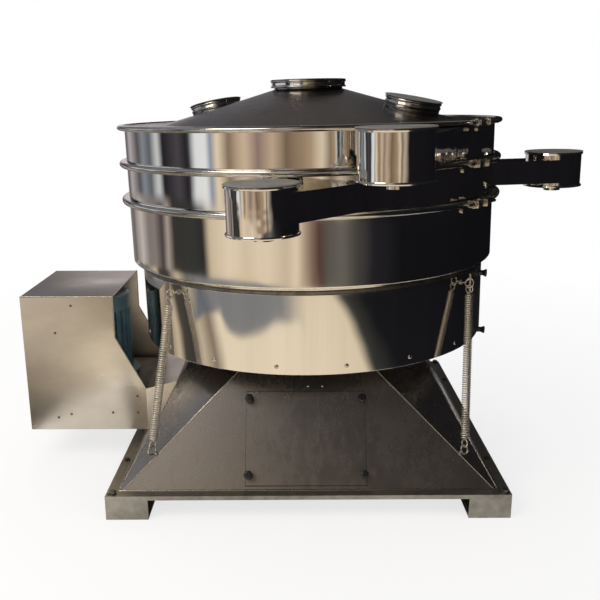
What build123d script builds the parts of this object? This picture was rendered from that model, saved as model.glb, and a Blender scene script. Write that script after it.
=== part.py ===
from build123d import *
import os
from math import asin, cos, degrees, hypot, radians, sin, sqrt, tan

os.makedirs("parts", exist_ok=True)

# Tumbler sieve in millimetres and degrees. Z is up and the origin lies on the floor under the
# drive shaft. The drum's axis leans a little and passes the shaft's axis at a small distance.

# Base frame and pedestal
base_width = 1188.0
plate_thick = 13.0
frame_rail = 154.0
frame_opening = base_width - 2 * frame_rail
foot_length = 124.0
foot_depth = 120.0
foot_height = 62.0
foot_wall = 6.0
anchor_inset = 18.0
anchor_radius = 7.0
pedestal_foot = 559.0
facet_foot = 1108.0
face_lean = 0.6
facet_lean = 1.693
pedestal_height = 355.0
pedestal_wall = 4.0
top_plate_thick = 12.0

# Access door on the front face
door_width = 360.0
door_low = 12.0
door_length = 281.0
door_lap = 18.0
door_thick = 3.0
door_centre = -7.0
knob_radius = 13.0
knob_height = 30.0
knob_stem_radius = 7.0
knob_edge = 9.0
knob_low = 30.0
knob_high = 24.0

# Drive
shaft_radius = 35.0
housing_radius = 95.0
housing_flange = 140.0
flange_thick = 18.0
housing_length = 150.0
bearing_radius = 75.0
bearing_width = 35.0
running_gap = 0.05
seat_gap = 0.3
pulley_low = 150.0
belt_count = 3
belt_pitch = 19.0
belt_width = 13.0
belt_depth = 9.0
belt_taper = 2.5
belt_gap = 0.3
pulley_edge = 12.0
large_pulley_radius = 225.0
small_pulley_radius = 45.0
pulley_web = 16.0
pulley_rim = 18.0
bush_radius = 62.0
motor_distance = 722.0
motor_shaft_radius = 14.0
motor_radius = 92.0
motor_length = 225.0
motor_flange = 125.0
motor_flange_thick = 14.0
fin_height = 8.0
fin_count = 24
fin_thick = 4.0
fan_cover_length = 58.0
motor_plate_thick = 12.0
crank_radius = 120.0
crank_thick = 38.0
crank_clearance = 14.0
weight_radius = 300.0
weight_angle = 120.0
weight_thick = 30.0

# Motor guard and belt tunnel
guard_left = 932.0
guard_right = 631.0
guard_foot = 538.0
guard_depth = 400.0
guard_low = 111.0
guard_high = 575.0
guard_corner = 438.0
guard_step = 257.0
guard_wall = 3.0
tunnel_rise = 14.5

# Drum
drum_tilt = 1.2
eccentricity = 24.0
skirt_low = 439.0
shell_radius = 600.0
skirt_step = 29.0
skirt_radius = shell_radius - skirt_step
sheet = 3.0
step_low = 232.0
step_high = 258.0
lower_joint = 455.0
middle_joint = 569.0
upper_joint = 681.0
flange_width = 17.0
flange_sheet = 3.0
seal_thick = 6.0
ring_width = 23.0
ring_height = 20.0
ring_lip = 3.0
ring_gap = 0.3
support_thick = 8.0
rib_count = 8
rib_thick = 8.0
hub_radius = 105.0
hub_bearing_radius = 80.0
hub_low = 92.0
skirt_band = 40.0
screw_count = 18
screw_height = 24.0
screw_turn = -1.6
screw_radius = 5.5

# Cover
annulus_inner = 475.0
cone_rise = 102.0
cone_sag = 1.0
neck_radius = 112.0
neck_height = 30.0
neck_flange = 123.0
neck_band = 22.0
port_reach = 356.0
port_radius = 84.0
port_height = 32.0
port_turn = -27.0
port_lean = 11.5

# Screening inserts
tray_low = 520.0
tray_hole = 45.0
screen_wall = 6.0
mesh_thick = 1.2
ball_radius = 13.0
ball_count = 12
pan_rise = 38.0

# Discharge pots
pot_radius = 90.0
pot_sheet = 2.0
pot_bead = 4.0
spout_radius = 27.0
spout_length = 14.0
chute_width = 126.0
chute_height = 75.0
lid_thick = 3.0
lid_over = 3.5

# Springs
eye_height = 210.0
eye_gap = skirt_step
eye_reach = skirt_radius + eye_gap
eye_azimuths = (45.0, 141.0, 225.0, 321.0)
anchor_x = 466.0
anchor_y = 512.0
anchor_z = 181.0
spring_radius = 13.5
hook_wire = 2.2
hook_radius = 11.0
eye_wire = 3.2
eye_radius = 13.0

# Derived places of the base
plate_top = foot_height + plate_thick
pedestal_top = plate_top + pedestal_height
bench_top = pedestal_top + top_plate_thick
half_base = base_width / 2
anchor_reach = half_base - anchor_inset
face_length = hypot(1.0, face_lean)
pulley_height = belt_count * belt_pitch + 2 * pulley_edge - (belt_pitch - belt_width)
crank_low = bench_top + flange_thick + crank_clearance
housing_low = bench_top - housing_length

# Derived frame of the drum: heights are measured along its axis from the skirt's lower edge
tilt = radians(drum_tilt)
drum_origin = Vector(eccentricity, 0, skirt_low)
drum_up = Vector(-sin(tilt), 0, cos(tilt))
drum_right = Vector(cos(tilt), 0, sin(tilt))
drum_axis = Axis(drum_origin, drum_up)
drum_section = Plane(origin=drum_origin, x_dir=drum_right, z_dir=(0, -1, 0))


def drum_across(turn):
    """Direction square to the drum's axis, turned about that axis."""
    return drum_right * cos(radians(turn)) + Vector(0, sin(radians(turn)), 0)


def drum_plane(height, x=0.0, y=0.0, turn=0.0):
    """Work plane square to the drum's axis, its x axis turned about that axis."""
    origin = drum_origin + drum_up * height + drum_right * x + Vector(0, y, 0)
    return Plane(origin=origin, x_dir=drum_across(turn), z_dir=drum_up)


def drum_point(reach, turn, height):
    """Point of the drum in the part's own frame."""
    return drum_origin + drum_up * height + drum_across(turn) * reach


def outward_plane(reach, turn, height):
    """Work plane on the drum's side, its normal pointing away from the axis."""
    return Plane(origin=drum_point(reach, turn, height), x_dir=drum_up, z_dir=drum_across(turn))


def upright_plane(turn, height):
    """Work plane through the drum's axis: x runs outwards, y runs up the axis."""
    across = drum_across(turn)
    return Plane(origin=drum_point(0, turn, height), x_dir=across, z_dir=across.cross(drum_up))


def span(x0, x1, y0, y1, mode=Mode.ADD):
    """Rectangle between two corners of the sketch in hand."""
    with Locations(((x0 + x1) / 2, (y0 + y1) / 2)):
        Rectangle(abs(x1 - x0), abs(y1 - y0), mode=mode)


# Base: four short tube feet under the corners of a plate frame
with BuildPart() as base_feet:
    with BuildSketch(Plane.YZ):
        for side in (-1, 1):
            with Locations((side * (half_base - foot_depth / 2), foot_height / 2)):
                Rectangle(foot_depth, foot_height)
                Rectangle(foot_depth - 2 * foot_wall, foot_height - 2 * foot_wall, mode=Mode.SUBTRACT)
    extrude(amount=half_base, both=True)
    with BuildSketch(Plane.XY):
        Rectangle(base_width - 2 * foot_length, base_width)
    extrude(amount=foot_height, mode=Mode.SUBTRACT)
    with BuildSketch(Plane.XY):
        with GridLocations(2 * anchor_reach, 2 * anchor_reach, 2, 2):
            Circle(anchor_radius)
    extrude(amount=foot_height, mode=Mode.SUBTRACT)
base_feet.part.label = "base_feet"
export_step(base_feet.part, "parts/base_feet.step")

with BuildPart() as base_plate:
    with BuildSketch(Plane.XY.offset(foot_height)):
        Rectangle(base_width, base_width)
        Rectangle(frame_opening, frame_opening, mode=Mode.SUBTRACT)
        with GridLocations(2 * anchor_reach, 2 * anchor_reach, 2, 2):
            Circle(anchor_radius, mode=Mode.SUBTRACT)
    extrude(amount=plate_thick)
base_plate.part.label = "base_plate"
export_step(base_plate.part, "parts/base_plate.step")

# Pedestal: a square frustum of folded sheet whose corners are cut by facets that widen upwards
def facet_plane(x_side, y_side, inset=0.0):
    """Plane of one corner facet, its normal pointing outwards."""
    normal = Vector(x_side, y_side, facet_lean)
    place = Vector(x_side, y_side, 0) * (facet_foot / 2) + Vector(0, 0, plate_top)
    return Plane(origin=place - normal.normalized() * inset, z_dir=normal)


def face_plane(x_side, y_side):
    """Plane lying on one main face: x runs level, y runs up the slope, z points outwards."""
    normal = Vector(x_side, y_side, face_lean)
    place = Vector(x_side, y_side, 0) * pedestal_foot + Vector(0, 0, plate_top)
    return Plane(origin=place, x_dir=(-y_side, x_side, 0), z_dir=normal)


corners = ((1, 1), (-1, 1), (-1, -1), (1, -1))
with BuildPart() as pedestal_core:
    with BuildSketch(Plane.XY.offset(plate_top)):
        half_foot = pedestal_foot - pedestal_wall * face_length
        Rectangle(2 * half_foot, 2 * half_foot)
    with BuildSketch(Plane.XY.offset(pedestal_top)):
        half_top = half_foot - face_lean * pedestal_height
        Rectangle(2 * half_top, 2 * half_top)
    loft()
    for x_side, y_side in corners:
        split(bisect_by=facet_plane(x_side, y_side, pedestal_wall), keep=Keep.BOTTOM)

front_face = face_plane(0, -1)
left_face = face_plane(-1, 0)
tunnel_window_width = 360.0
tunnel_window_low = 70.0
tunnel_window_high = 183.0
door_high = door_low + door_length
with BuildPart() as pedestal_shell:
    with BuildSketch(Plane.XY.offset(plate_top)):
        Rectangle(2 * pedestal_foot, 2 * pedestal_foot)
    with BuildSketch(Plane.XY.offset(pedestal_top)):
        half_top = pedestal_foot - face_lean * pedestal_height
        Rectangle(2 * half_top, 2 * half_top)
    loft()
    for x_side, y_side in corners:
        split(bisect_by=facet_plane(x_side, y_side), keep=Keep.BOTTOM)
    add(pedestal_core.part, mode=Mode.SUBTRACT)
    with BuildSketch(front_face):
        with Locations((door_centre, 0)):
            opening_half = door_width / 2 - door_lap
            span(-opening_half, opening_half, door_low + door_lap, door_high - door_lap)
    extrude(amount=3 * pedestal_wall, both=True, mode=Mode.SUBTRACT)
    with BuildSketch(left_face):
        span(-tunnel_window_width / 2, tunnel_window_width / 2, tunnel_window_low, tunnel_window_high)
    extrude(amount=3 * pedestal_wall, both=True, mode=Mode.SUBTRACT)
pedestal_shell.part.label = "pedestal_shell"
export_step(pedestal_shell.part, "parts/pedestal_shell.step")

# Eight-sided plate that closes the pedestal and carries the bearing housing
top_half = pedestal_foot - face_lean * pedestal_height
top_corner = facet_foot - facet_lean * pedestal_height - top_half
housing_bolt_circle = housing_radius + (housing_flange - housing_radius) / 2
housing_bolt_radius = 8.0
housing_bolt_count = 8
with BuildPart() as pedestal_top_plate:
    with BuildSketch(Plane.XY.offset(pedestal_top)):
        with BuildLine():
            outline = [(top_half, top_corner), (top_corner, top_half)]
            outline += [(-x, y) for x, y in reversed(outline)]
            outline += [(x, -y) for x, y in reversed(outline)]
            Polyline(*outline, close=True)
        make_face()
        Circle(housing_radius + ring_gap, mode=Mode.SUBTRACT)
        with PolarLocations(housing_bolt_circle, housing_bolt_count):
            Circle(housing_bolt_radius, mode=Mode.SUBTRACT)
    extrude(amount=top_plate_thick)
pedestal_top_plate.part.label = "pedestal_top_plate"
export_step(pedestal_top_plate.part, "parts/pedestal_top_plate.step")

# Access door on the front face, with four knobs on studs
knob_spots = []
for x_side in (-1, 1):
    knob_x = door_centre + x_side * (door_width / 2 - knob_edge)
    knob_spots.append((knob_x, door_low + knob_low))
    knob_spots.append((knob_x, door_high - knob_high))
door_outside = front_face.offset(door_thick)
with BuildPart() as access_door:
    with BuildSketch(front_face):
        with Locations((door_centre, (door_low + door_high) / 2)):
            Rectangle(door_width, door_length)
        with Locations(*knob_spots):
            Circle(knob_stem_radius, mode=Mode.SUBTRACT)
    extrude(amount=door_thick)
access_door.part.label = "access_door"
export_step(access_door.part, "parts/access_door.step")

with BuildPart() as door_knobs:
    with BuildSketch(front_face):
        with Locations(*knob_spots):
            Circle(knob_stem_radius)
    extrude(amount=knob_height)
    with BuildSketch(door_outside.offset(knob_height / 3)):
        with Locations(*knob_spots):
            Circle(knob_radius)
    extrude(amount=knob_height * 2 / 3)
    fillet(door_knobs.faces().filter_by(Plane(front_face.origin, z_dir=front_face.z_dir)).sort_by(
        Axis(front_face.origin, front_face.z_dir))[-4:].edges(), 5.0)
door_knobs.part.label = "door_knobs"
export_step(door_knobs.part, "parts/door_knobs.step")

# Main bearing housing: a flanged tube through the top plate, bored for two ball bearings
shoulder = 12.0
with BuildPart() as bearing_housing:
    with BuildSketch(Plane.XZ):
        span(0, housing_radius, housing_low, bench_top + flange_thick)
        span(housing_radius, housing_flange, bench_top, bench_top + flange_thick)
        span(0, shaft_radius + shoulder, housing_low, bench_top + flange_thick, mode=Mode.SUBTRACT)
        span(0, bearing_radius, housing_low, housing_low + bearing_width, mode=Mode.SUBTRACT)
        span(0, bearing_radius, bench_top + flange_thick - bearing_width, bench_top + flange_thick,
             mode=Mode.SUBTRACT)
    revolve(axis=Axis.Z)
    with BuildSketch(Plane.XY.offset(bench_top)):
        with PolarLocations(housing_bolt_circle, housing_bolt_count):
            Circle(housing_bolt_radius)
    extrude(amount=flange_thick, mode=Mode.SUBTRACT)
bearing_housing.part.label = "bearing_housing"
export_step(bearing_housing.part, "parts/bearing_housing.step")


def bearing_section(low, bore, outside, width):
    """Half section of a ball bearing: two rings, and the row of balls with its cage as one ring."""
    third = (outside - bore) / 3
    span(bore, bore + third, low, low + width)
    span(outside - third, outside, low, low + width)
    with Locations(((bore + outside) / 2, low + width / 2)):
        Circle(third * 0.62)


with BuildPart() as main_bearings:
    with BuildSketch(Plane.XZ):
        bearing_section(housing_low, shaft_radius + running_gap, bearing_radius, bearing_width)
        bearing_section(bench_top + flange_thick - bearing_width, shaft_radius + running_gap, bearing_radius,
                        bearing_width)
    revolve(axis=Axis.Z)
main_bearings.part.label = "main_bearings"
export_step(main_bearings.part, "parts/main_bearings.step")

bolt_head_radius = 13.0
bolt_head_height = 10.0
with BuildPart() as housing_bolts:
    with BuildSketch(Plane.XY.offset(pedestal_top - bolt_head_height)):
        with PolarLocations(housing_bolt_circle, housing_bolt_count):
            RegularPolygon(bolt_head_radius, 6)
    extrude(amount=bolt_head_height)
    with BuildSketch(Plane.XY.offset(pedestal_top)):
        with PolarLocations(housing_bolt_circle, housing_bolt_count):
            Circle(housing_bolt_radius)
    extrude(amount=top_plate_thick + flange_thick)
housing_bolts.part.label = "housing_bolts"
export_step(housing_bolts.part, "parts/housing_bolts.step")

# Drive shaft: plain length in the bearings, large pulley on its lower end, crank on top
shaft_low = pulley_low - 12.0
with BuildPart() as main_shaft:
    with BuildSketch(Plane.XY.offset(shaft_low)):
        Circle(shaft_radius)
    extrude(amount=crank_low - shaft_low)
    with BuildSketch(Plane.XY.offset(crank_low - crank_clearance / 2)):
        Circle(shaft_radius + shoulder / 2)
    extrude(amount=crank_clearance / 2)
main_shaft.part.label = "main_shaft"
export_step(main_shaft.part, "parts/main_shaft.step")


def groove_heights():
    """Middle height of each belt groove."""
    first = pulley_low + pulley_edge + belt_width / 2
    return [first + belt_pitch * i for i in range(belt_count)]


def grooves(outside):
    """Belt grooves cut into the rim of a pulley's half section."""
    wide = belt_width / 2 + belt_gap
    narrow = wide - belt_taper
    deep = outside - belt_depth - belt_gap
    for height in groove_heights():
        Polygon((outside + 1, height - wide), (outside + 1, height + wide), (deep, height + narrow),
                (deep, height - narrow), mode=Mode.SUBTRACT)


with BuildPart() as large_pulley:
    with BuildSketch(Plane.XZ):
        span(0, large_pulley_radius, pulley_low, pulley_low + pulley_height)
        grooves(large_pulley_radius)
        rim_inner = large_pulley_radius - pulley_rim
        web_low = pulley_low + (pulley_height - pulley_web) / 2
        span(bush_radius, rim_inner, pulley_low, web_low, mode=Mode.SUBTRACT)
        span(bush_radius, rim_inner, web_low + pulley_web, pulley_low + pulley_height, mode=Mode.SUBTRACT)
        span(0, shaft_radius, pulley_low, pulley_low + pulley_height, mode=Mode.SUBTRACT)
    revolve(axis=Axis.Z)
large_pulley.part.label = "large_pulley"
export_step(large_pulley.part, "parts/large_pulley.step")

# Crank on the shaft's top: a round cheek with the leaning journal that carries the drum
journal_radius = 40.0
hub_top = step_low
journal_low = 58.0
upper_bearing_low = hub_top - bearing_width - 22.0
washer_thick = 6.0
with BuildPart() as crank:
    with BuildSketch(Plane.XY.offset(crank_low)):
        Circle(crank_radius)
    extrude(amount=crank_thick)
    fillet(crank.edges(), 3.0)
    with BuildSketch(drum_plane(journal_low)):
        Circle(journal_radius)
    extrude(amount=upper_bearing_low + bearing_width + seat_gap - journal_low)
crank.part.label = "crank"
export_step(crank.part, "parts/crank.step")

with BuildPart() as counterweight:
    with BuildSketch(Plane.XY.offset(crank_low)):
        with BuildLine():
            half_angle = weight_angle / 2
            outer_arc = CenterArc((0, 0), weight_radius, 180 - half_angle, weight_angle)
            inner_arc = CenterArc((0, 0), crank_radius, 180 - half_angle, weight_angle)
            Line(outer_arc @ 0, inner_arc @ 0)
            Line(outer_arc @ 1, inner_arc @ 1)
        make_face()
    extrude(amount=weight_thick)
counterweight.part.label = "counterweight"
export_step(counterweight.part, "parts/counterweight.step")

with BuildPart() as journal_washer:
    with BuildSketch(drum_plane(upper_bearing_low + bearing_width + seat_gap)):
        Circle(journal_radius + shoulder / 2)
    extrude(amount=washer_thick)
    with BuildSketch(drum_plane(upper_bearing_low + bearing_width + seat_gap + washer_thick)):
        RegularPolygon(bolt_head_radius, 6)
    extrude(amount=bolt_head_height)
journal_washer.part.label = "journal_washer"
export_step(journal_washer.part, "parts/journal_washer.step")

# Motor: vertical, flange down on a plate that reaches out of the pedestal's left face
motor_plate_low = pulley_low + pulley_height + 12.0
motor_plate_top = motor_plate_low + motor_plate_thick
motor_place = (-motor_distance, 0)
motor_body_low = motor_plate_top + motor_flange_thick
motor_body_top = motor_body_low + motor_length
motor_hole = 32.0
plate_half = 150.0
with BuildPart() as motor_plate:
    with BuildSketch(Plane.XY.offset(motor_plate_low)):
        span(-motor_distance - motor_flange, 0, -plate_half, plate_half)
        with Locations(motor_place):
            Circle(motor_hole, mode=Mode.SUBTRACT)
    extrude(amount=motor_plate_thick)
    split(bisect_by=left_face, keep=Keep.TOP)
motor_plate.part.label = "motor_plate"
export_step(motor_plate.part, "parts/motor_plate.step")

with BuildPart() as motor_body:
    with BuildSketch(Plane.XY.offset(motor_plate_top)):
        with Locations(motor_place):
            Circle(motor_flange)
    extrude(amount=motor_flange_thick)
    with BuildSketch(Plane.XY.offset(motor_body_low)):
        with Locations(motor_place):
            Circle(motor_radius)
            with PolarLocations(motor_radius, fin_count):
                Rectangle(2 * fin_height, fin_thick)
    extrude(amount=motor_length)
    with BuildSketch(Plane.XY.offset(motor_plate_top)):
        with Locations(motor_place):
            Circle(motor_shaft_radius + shoulder / 4)
    extrude(amount=motor_flange_thick + motor_length / 2, mode=Mode.SUBTRACT)
motor_body.part.label = "motor_body"
export_step(motor_body.part, "parts/motor_body.step")

fan_cover_radius = motor_radius + fin_height
fan_wall = 2.0
with BuildPart() as fan_cover:
    with BuildSketch(Plane.XY.offset(motor_body_top)):
        with Locations(motor_place):
            Circle(fan_cover_radius)
    extrude(amount=fan_cover_length)
    fillet(fan_cover.faces().sort_by(Axis.Z)[-1].edges(), 10.0)
    with BuildSketch(Plane.XY.offset(motor_body_top)):
        with Locations(motor_place):
            Circle(fan_cover_radius - fan_wall)
    extrude(amount=fan_cover_length - fan_wall - 8.0, mode=Mode.SUBTRACT)
    with BuildSketch(Plane.XY.offset(motor_body_top + fan_cover_length)):
        with Locations(motor_place):
            for ring in (24.0, 44.0, 64.0):
                with PolarLocations(ring, 8):
                    SlotOverall(14.0, 6.0, rotation=90)
    extrude(amount=-20.0, mode=Mode.SUBTRACT)
fan_cover.part.label = "fan_cover"
export_step(fan_cover.part, "parts/fan_cover.step")

terminal_width = 90.0
terminal_depth = 46.0
with BuildPart() as terminal_box:
    with BuildSketch(Plane.XY.offset(motor_body_low + motor_length / 3)):
        with Locations(motor_place):
            edge = -motor_radius - fin_height
            span(edge - terminal_depth, edge, -terminal_width / 2, terminal_width / 2)
    extrude(amount=terminal_width)
    fillet(terminal_box.edges().filter_by(Axis.Z), 6.0)
terminal_box.part.label = "terminal_box"
export_step(terminal_box.part, "parts/terminal_box.step")

with BuildPart() as motor_shaft:
    with BuildSketch(Plane.XY.offset(shaft_low)):
        with Locations(motor_place):
            Circle(motor_shaft_radius)
    extrude(amount=motor_body_low + motor_length / 2 - shaft_low - shoulder)
motor_shaft.part.label = "motor_shaft"
export_step(motor_shaft.part, "parts/motor_shaft.step")

motor_axis = Axis((-motor_distance, 0, 0), (0, 0, 1))
motor_section = Plane(origin=(-motor_distance, 0, 0), x_dir=(1, 0, 0), z_dir=(0, -1, 0))
with BuildPart() as small_pulley:
    with BuildSketch(motor_section):
        span(motor_shaft_radius, small_pulley_radius, pulley_low, pulley_low + pulley_height)
        grooves(small_pulley_radius)
    revolve(axis=motor_axis)
small_pulley.part.label = "small_pulley"
export_step(small_pulley.part, "parts/small_pulley.step")

# Belts: closed loops of V section over both pulleys
belt_middle = belt_depth / 2
large_pitch = large_pulley_radius - belt_middle
small_pitch = small_pulley_radius - belt_middle
lean = (large_pitch - small_pitch) / motor_distance
rise = sqrt(1 - lean * lean)
with BuildPart() as v_belts:
    for height in groove_heights():
        with BuildLine(Plane.XY.offset(height)) as belt_path:
            upper = Line((-large_pitch * lean, large_pitch * rise),
                         (-motor_distance - small_pitch * lean, small_pitch * rise))
            small_turn = ThreePointArc(upper @ 1, (-motor_distance - small_pitch, 0),
                                       (-motor_distance - small_pitch * lean, -small_pitch * rise))
            lower = Line(small_turn @ 1, (-large_pitch * lean, -large_pitch * rise))
            ThreePointArc(lower @ 1, (large_pitch, 0), upper @ 0)
        outward = Vector(-lean, rise, 0)
        with BuildSketch(Plane(origin=upper @ 0, x_dir=outward, z_dir=upper % 0)):
            Polygon((belt_middle, -belt_width / 2), (belt_middle, belt_width / 2),
                    (-belt_middle, belt_width / 2 - belt_taper), (-belt_middle, belt_taper - belt_width / 2))
        sweep(path=belt_path.wires()[0])
v_belts.part.label = "v_belts"
export_step(v_belts.part, "parts/v_belts.step")

# Motor guard: folded box, open towards the drum, its front and back sheets cut on a slant
guard_half = guard_depth / 2
with BuildPart() as motor_guard:
    with BuildSketch(Plane.XZ.offset(-guard_half)):
        Polygon((-guard_left, guard_low), (-guard_foot, guard_low), (-guard_foot, guard_step),
                (-guard_right, guard_corner), (-guard_right, guard_high), (-guard_left, guard_high))
    extrude(amount=guard_depth)
    with BuildSketch(Plane.XZ.offset(-guard_half + guard_wall)):
        span(-guard_left + guard_wall, 0, guard_low + guard_wall, guard_high - guard_wall)
    extrude(amount=guard_depth - 2 * guard_wall, mode=Mode.SUBTRACT)
motor_guard.part.label = "motor_guard"
export_step(motor_guard.part, "parts/motor_guard.step")

# Belt tunnel: rising top sheet and two side sheets between the guard and the left face
tunnel_slope = tan(radians(tunnel_rise))
tunnel_reach = guard_foot
with BuildPart() as belt_tunnel:
    with BuildSketch(Plane.XZ.offset(-guard_half)):
        Polygon((-guard_foot, guard_low), (0, guard_low), (0, guard_step + tunnel_slope * tunnel_reach),
                (-guard_foot, guard_step))
    extrude(amount=guard_depth)
    with BuildSketch(Plane.XZ.offset(-guard_half + guard_wall)):
        Polygon((-guard_foot, 0), (0, 0), (0, guard_step + tunnel_slope * tunnel_reach - guard_wall),
                (-guard_foot, guard_step - guard_wall))
    extrude(amount=guard_depth - 2 * guard_wall, mode=Mode.SUBTRACT)
    split(bisect_by=left_face, keep=Keep.TOP)
belt_tunnel.part.label = "belt_tunnel"
export_step(belt_tunnel.part, "parts/belt_tunnel.step")

# Drum: hub, bearings and the spider that carries all frames
with BuildPart() as hub_housing:
    with BuildSketch(drum_section):
        span(hub_bearing_radius - shoulder, hub_radius, hub_low, hub_top)
        span(0, hub_bearing_radius, hub_low, hub_low + bearing_width, mode=Mode.SUBTRACT)
        span(0, hub_bearing_radius, upper_bearing_low, hub_top, mode=Mode.SUBTRACT)
    revolve(axis=drum_axis)
hub_housing.part.label = "hub_housing"
export_step(hub_housing.part, "parts/hub_housing.step")

with BuildPart() as hub_bearings:
    with BuildSketch(drum_section):
        bearing_section(hub_low, journal_radius + running_gap, hub_bearing_radius, bearing_width)
        bearing_section(upper_bearing_low, journal_radius + running_gap, hub_bearing_radius, bearing_width)
    revolve(axis=drum_axis)
hub_bearings.part.label = "hub_bearings"
export_step(hub_bearings.part, "parts/hub_bearings.step")

skirt_inner = skirt_radius - sheet
band_thick = 12.0
band_low = eye_height - 15.0
rib_foot = 118.0
with BuildPart() as support_frame:
    with BuildSketch(drum_plane(step_low)):
        Circle(skirt_inner)
    extrude(amount=support_thick)
    with BuildSketch(drum_plane(band_low)):
        Circle(skirt_inner)
        Circle(skirt_inner - band_thick, mode=Mode.SUBTRACT)
    extrude(amount=step_low - band_low)
    for i in range(rib_count):
        with BuildSketch(upright_plane(360 / rib_count * (i + 0.5), 0)):
            Polygon((hub_radius, rib_foot), (skirt_inner - band_thick, band_low),
                    (skirt_inner - band_thick, step_low), (hub_radius, step_low))
        extrude(amount=rib_thick / 2, both=True)
support_frame.part.label = "support_frame"
export_step(support_frame.part, "parts/support_frame.step")

# Skirt hiding the drive, with an inner stiffening band, a hand hatch and its row of screws
hatch_turn = -22.0
hatch_half = 10.0
hatch_low = 8.0
hatch_high = 222.0
hatch_lap = 14.0
screw_turns = [screw_turn + 360 / screw_count * i for i in range(screw_count)]
screw_turns = [turn for turn in screw_turns if abs(turn - 360 - hatch_turn) > hatch_half]
with BuildPart() as skirt:
    with BuildSketch(drum_plane(0)):
        Circle(skirt_radius)
        Circle(skirt_inner, mode=Mode.SUBTRACT)
    extrude(amount=step_low)
    with BuildSketch(drum_plane(0)):
        Circle(skirt_inner)
        Circle(skirt_inner - sheet, mode=Mode.SUBTRACT)
    extrude(amount=skirt_band)
    lap_angle = degrees(hatch_lap / skirt_radius)
    window_half = skirt_radius * sin(radians(hatch_half - lap_angle))
    with BuildSketch(drum_plane(skirt_band, turn=hatch_turn)):
        span(skirt_inner - 2 * sheet, skirt_radius + sheet, -window_half, window_half)
    extrude(amount=band_low - skirt_band - hatch_lap, mode=Mode.SUBTRACT)
    for turn in eye_azimuths:
        with BuildSketch(outward_plane(skirt_inner, turn, eye_height)):
            Circle(eye_wire)
        extrude(amount=2 * sheet, both=True, mode=Mode.SUBTRACT)
skirt.part.label = "skirt"
export_step(skirt.part, "parts/skirt.step")

with BuildPart() as skirt_screws:
    for turn in screw_turns:
        with BuildSketch(outward_plane(skirt_radius, turn, screw_height)):
            Circle(screw_radius)
        extrude(amount=screw_radius / 2)
    head_reach = hypot(skirt_radius, screw_height) + 1
    head_edges = skirt_screws.edges().filter_by(GeomType.CIRCLE).filter_by(
        lambda e: (e.arc_center - drum_origin).length > head_reach)
    fillet(head_edges, screw_radius / 3)
skirt_screws.part.label = "skirt_screws"
export_step(skirt_screws.part, "parts/skirt_screws.step")

with BuildPart() as side_hatch:
    with BuildSketch(drum_plane(hatch_low)):
        Circle(skirt_radius + sheet)
        Circle(skirt_radius, mode=Mode.SUBTRACT)
        with Locations(Location((0, 0), hatch_turn)):
            span(0, 2 * skirt_radius, -skirt_radius * sin(radians(hatch_half)),
                 skirt_radius * sin(radians(hatch_half)), mode=Mode.INTERSECT)
    extrude(amount=hatch_high - hatch_low)
side_hatch.part.label = "side_hatch"
export_step(side_hatch.part, "parts/side_hatch.step")

wing_heights = (screw_height - 8.0, eye_height - 5.0)
wing_stem = 8.0
wing_reach = 24.0
wing_span = 26.0
wing_thick = 9.0
with BuildPart() as wing_knobs:
    for height in wing_heights:
        knob_seat = outward_plane(skirt_radius + sheet, hatch_turn, height)
        with BuildSketch(knob_seat):
            Circle(wing_stem)
        extrude(amount=wing_reach)
        with BuildSketch(knob_seat.offset(wing_reach - wing_thick)):
            SlotOverall(wing_span, wing_thick * 2, rotation=90)
        extrude(amount=wing_thick)
wing_knobs.part.label = "wing_knobs"
export_step(wing_knobs.part, "parts/wing_knobs.step")

# Frames: shells with an outward flange at each joint, stacked with seals between
def flanged_shell(low_joint, high_joint, low_seat, high_seat):
    """Half section of a shell with flanges that stop short of each joint by its seat."""
    inner = shell_radius - sheet
    span(inner, shell_radius, low_joint + low_seat, high_joint - high_seat)
    span(inner, shell_radius + flange_width, low_joint + low_seat, low_joint + low_seat + flange_sheet)
    span(inner, shell_radius + flange_width, high_joint - high_seat - flange_sheet, high_joint - high_seat)


seat = seal_thick / 2
top_seat = seal_thick / 4
with BuildPart() as lower_frame:
    with BuildSketch(drum_section):
        step = step_low + support_thick
        shell_top = lower_joint - seat
        Polygon((skirt_inner, step), (skirt_radius, step), (shell_radius, step_high),
                (shell_radius, shell_top), (shell_radius - sheet, shell_top),
                (shell_radius - sheet, step_high + sheet), (skirt_inner, step + sheet))
        span(shell_radius - sheet, shell_radius + flange_width, shell_top - flange_sheet, shell_top)
    revolve(axis=drum_axis)
lower_frame.part.label = "lower_frame"
export_step(lower_frame.part, "parts/lower_frame.step")

# Pots: distance of the centre from the shell and its turn, level of the floor, height of the tub, turn
# of the chute towards the drum, its outer side, and the level of the chute's floor
pot_places = {
    "front_pot": (161.4, -99.9, 434.0, 124.0, 45.0, -1, 466.0),
    "upper_pot": (254.8, -77.64, 563.0, 124.0, 69.0, -1, 598.0),
    "side_pot": (224.1, 0.765, 452.0, 114.0, 185.0, 1, 469.0),
}
pots = {}
for name, (gap, azimuth, *levels_and_turns) in pot_places.items():
    reach = shell_radius + gap
    pots[name] = (reach * cos(radians(azimuth)), reach * sin(radians(azimuth)), *levels_and_turns)


def chute_block(name, inset):
    """Plane and sizes of a chute's box, moved in by the inset on its four long sides."""
    x, y, floor, tub_height, turn, side, chute_low = pots[name]
    plane = drum_plane(chute_low + inset, x, y, turn)
    middle = side * (pot_radius - chute_width / 2)
    half = chute_width / 2 - inset
    return plane, middle - half, middle + half, chute_height - 2 * inset


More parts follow.
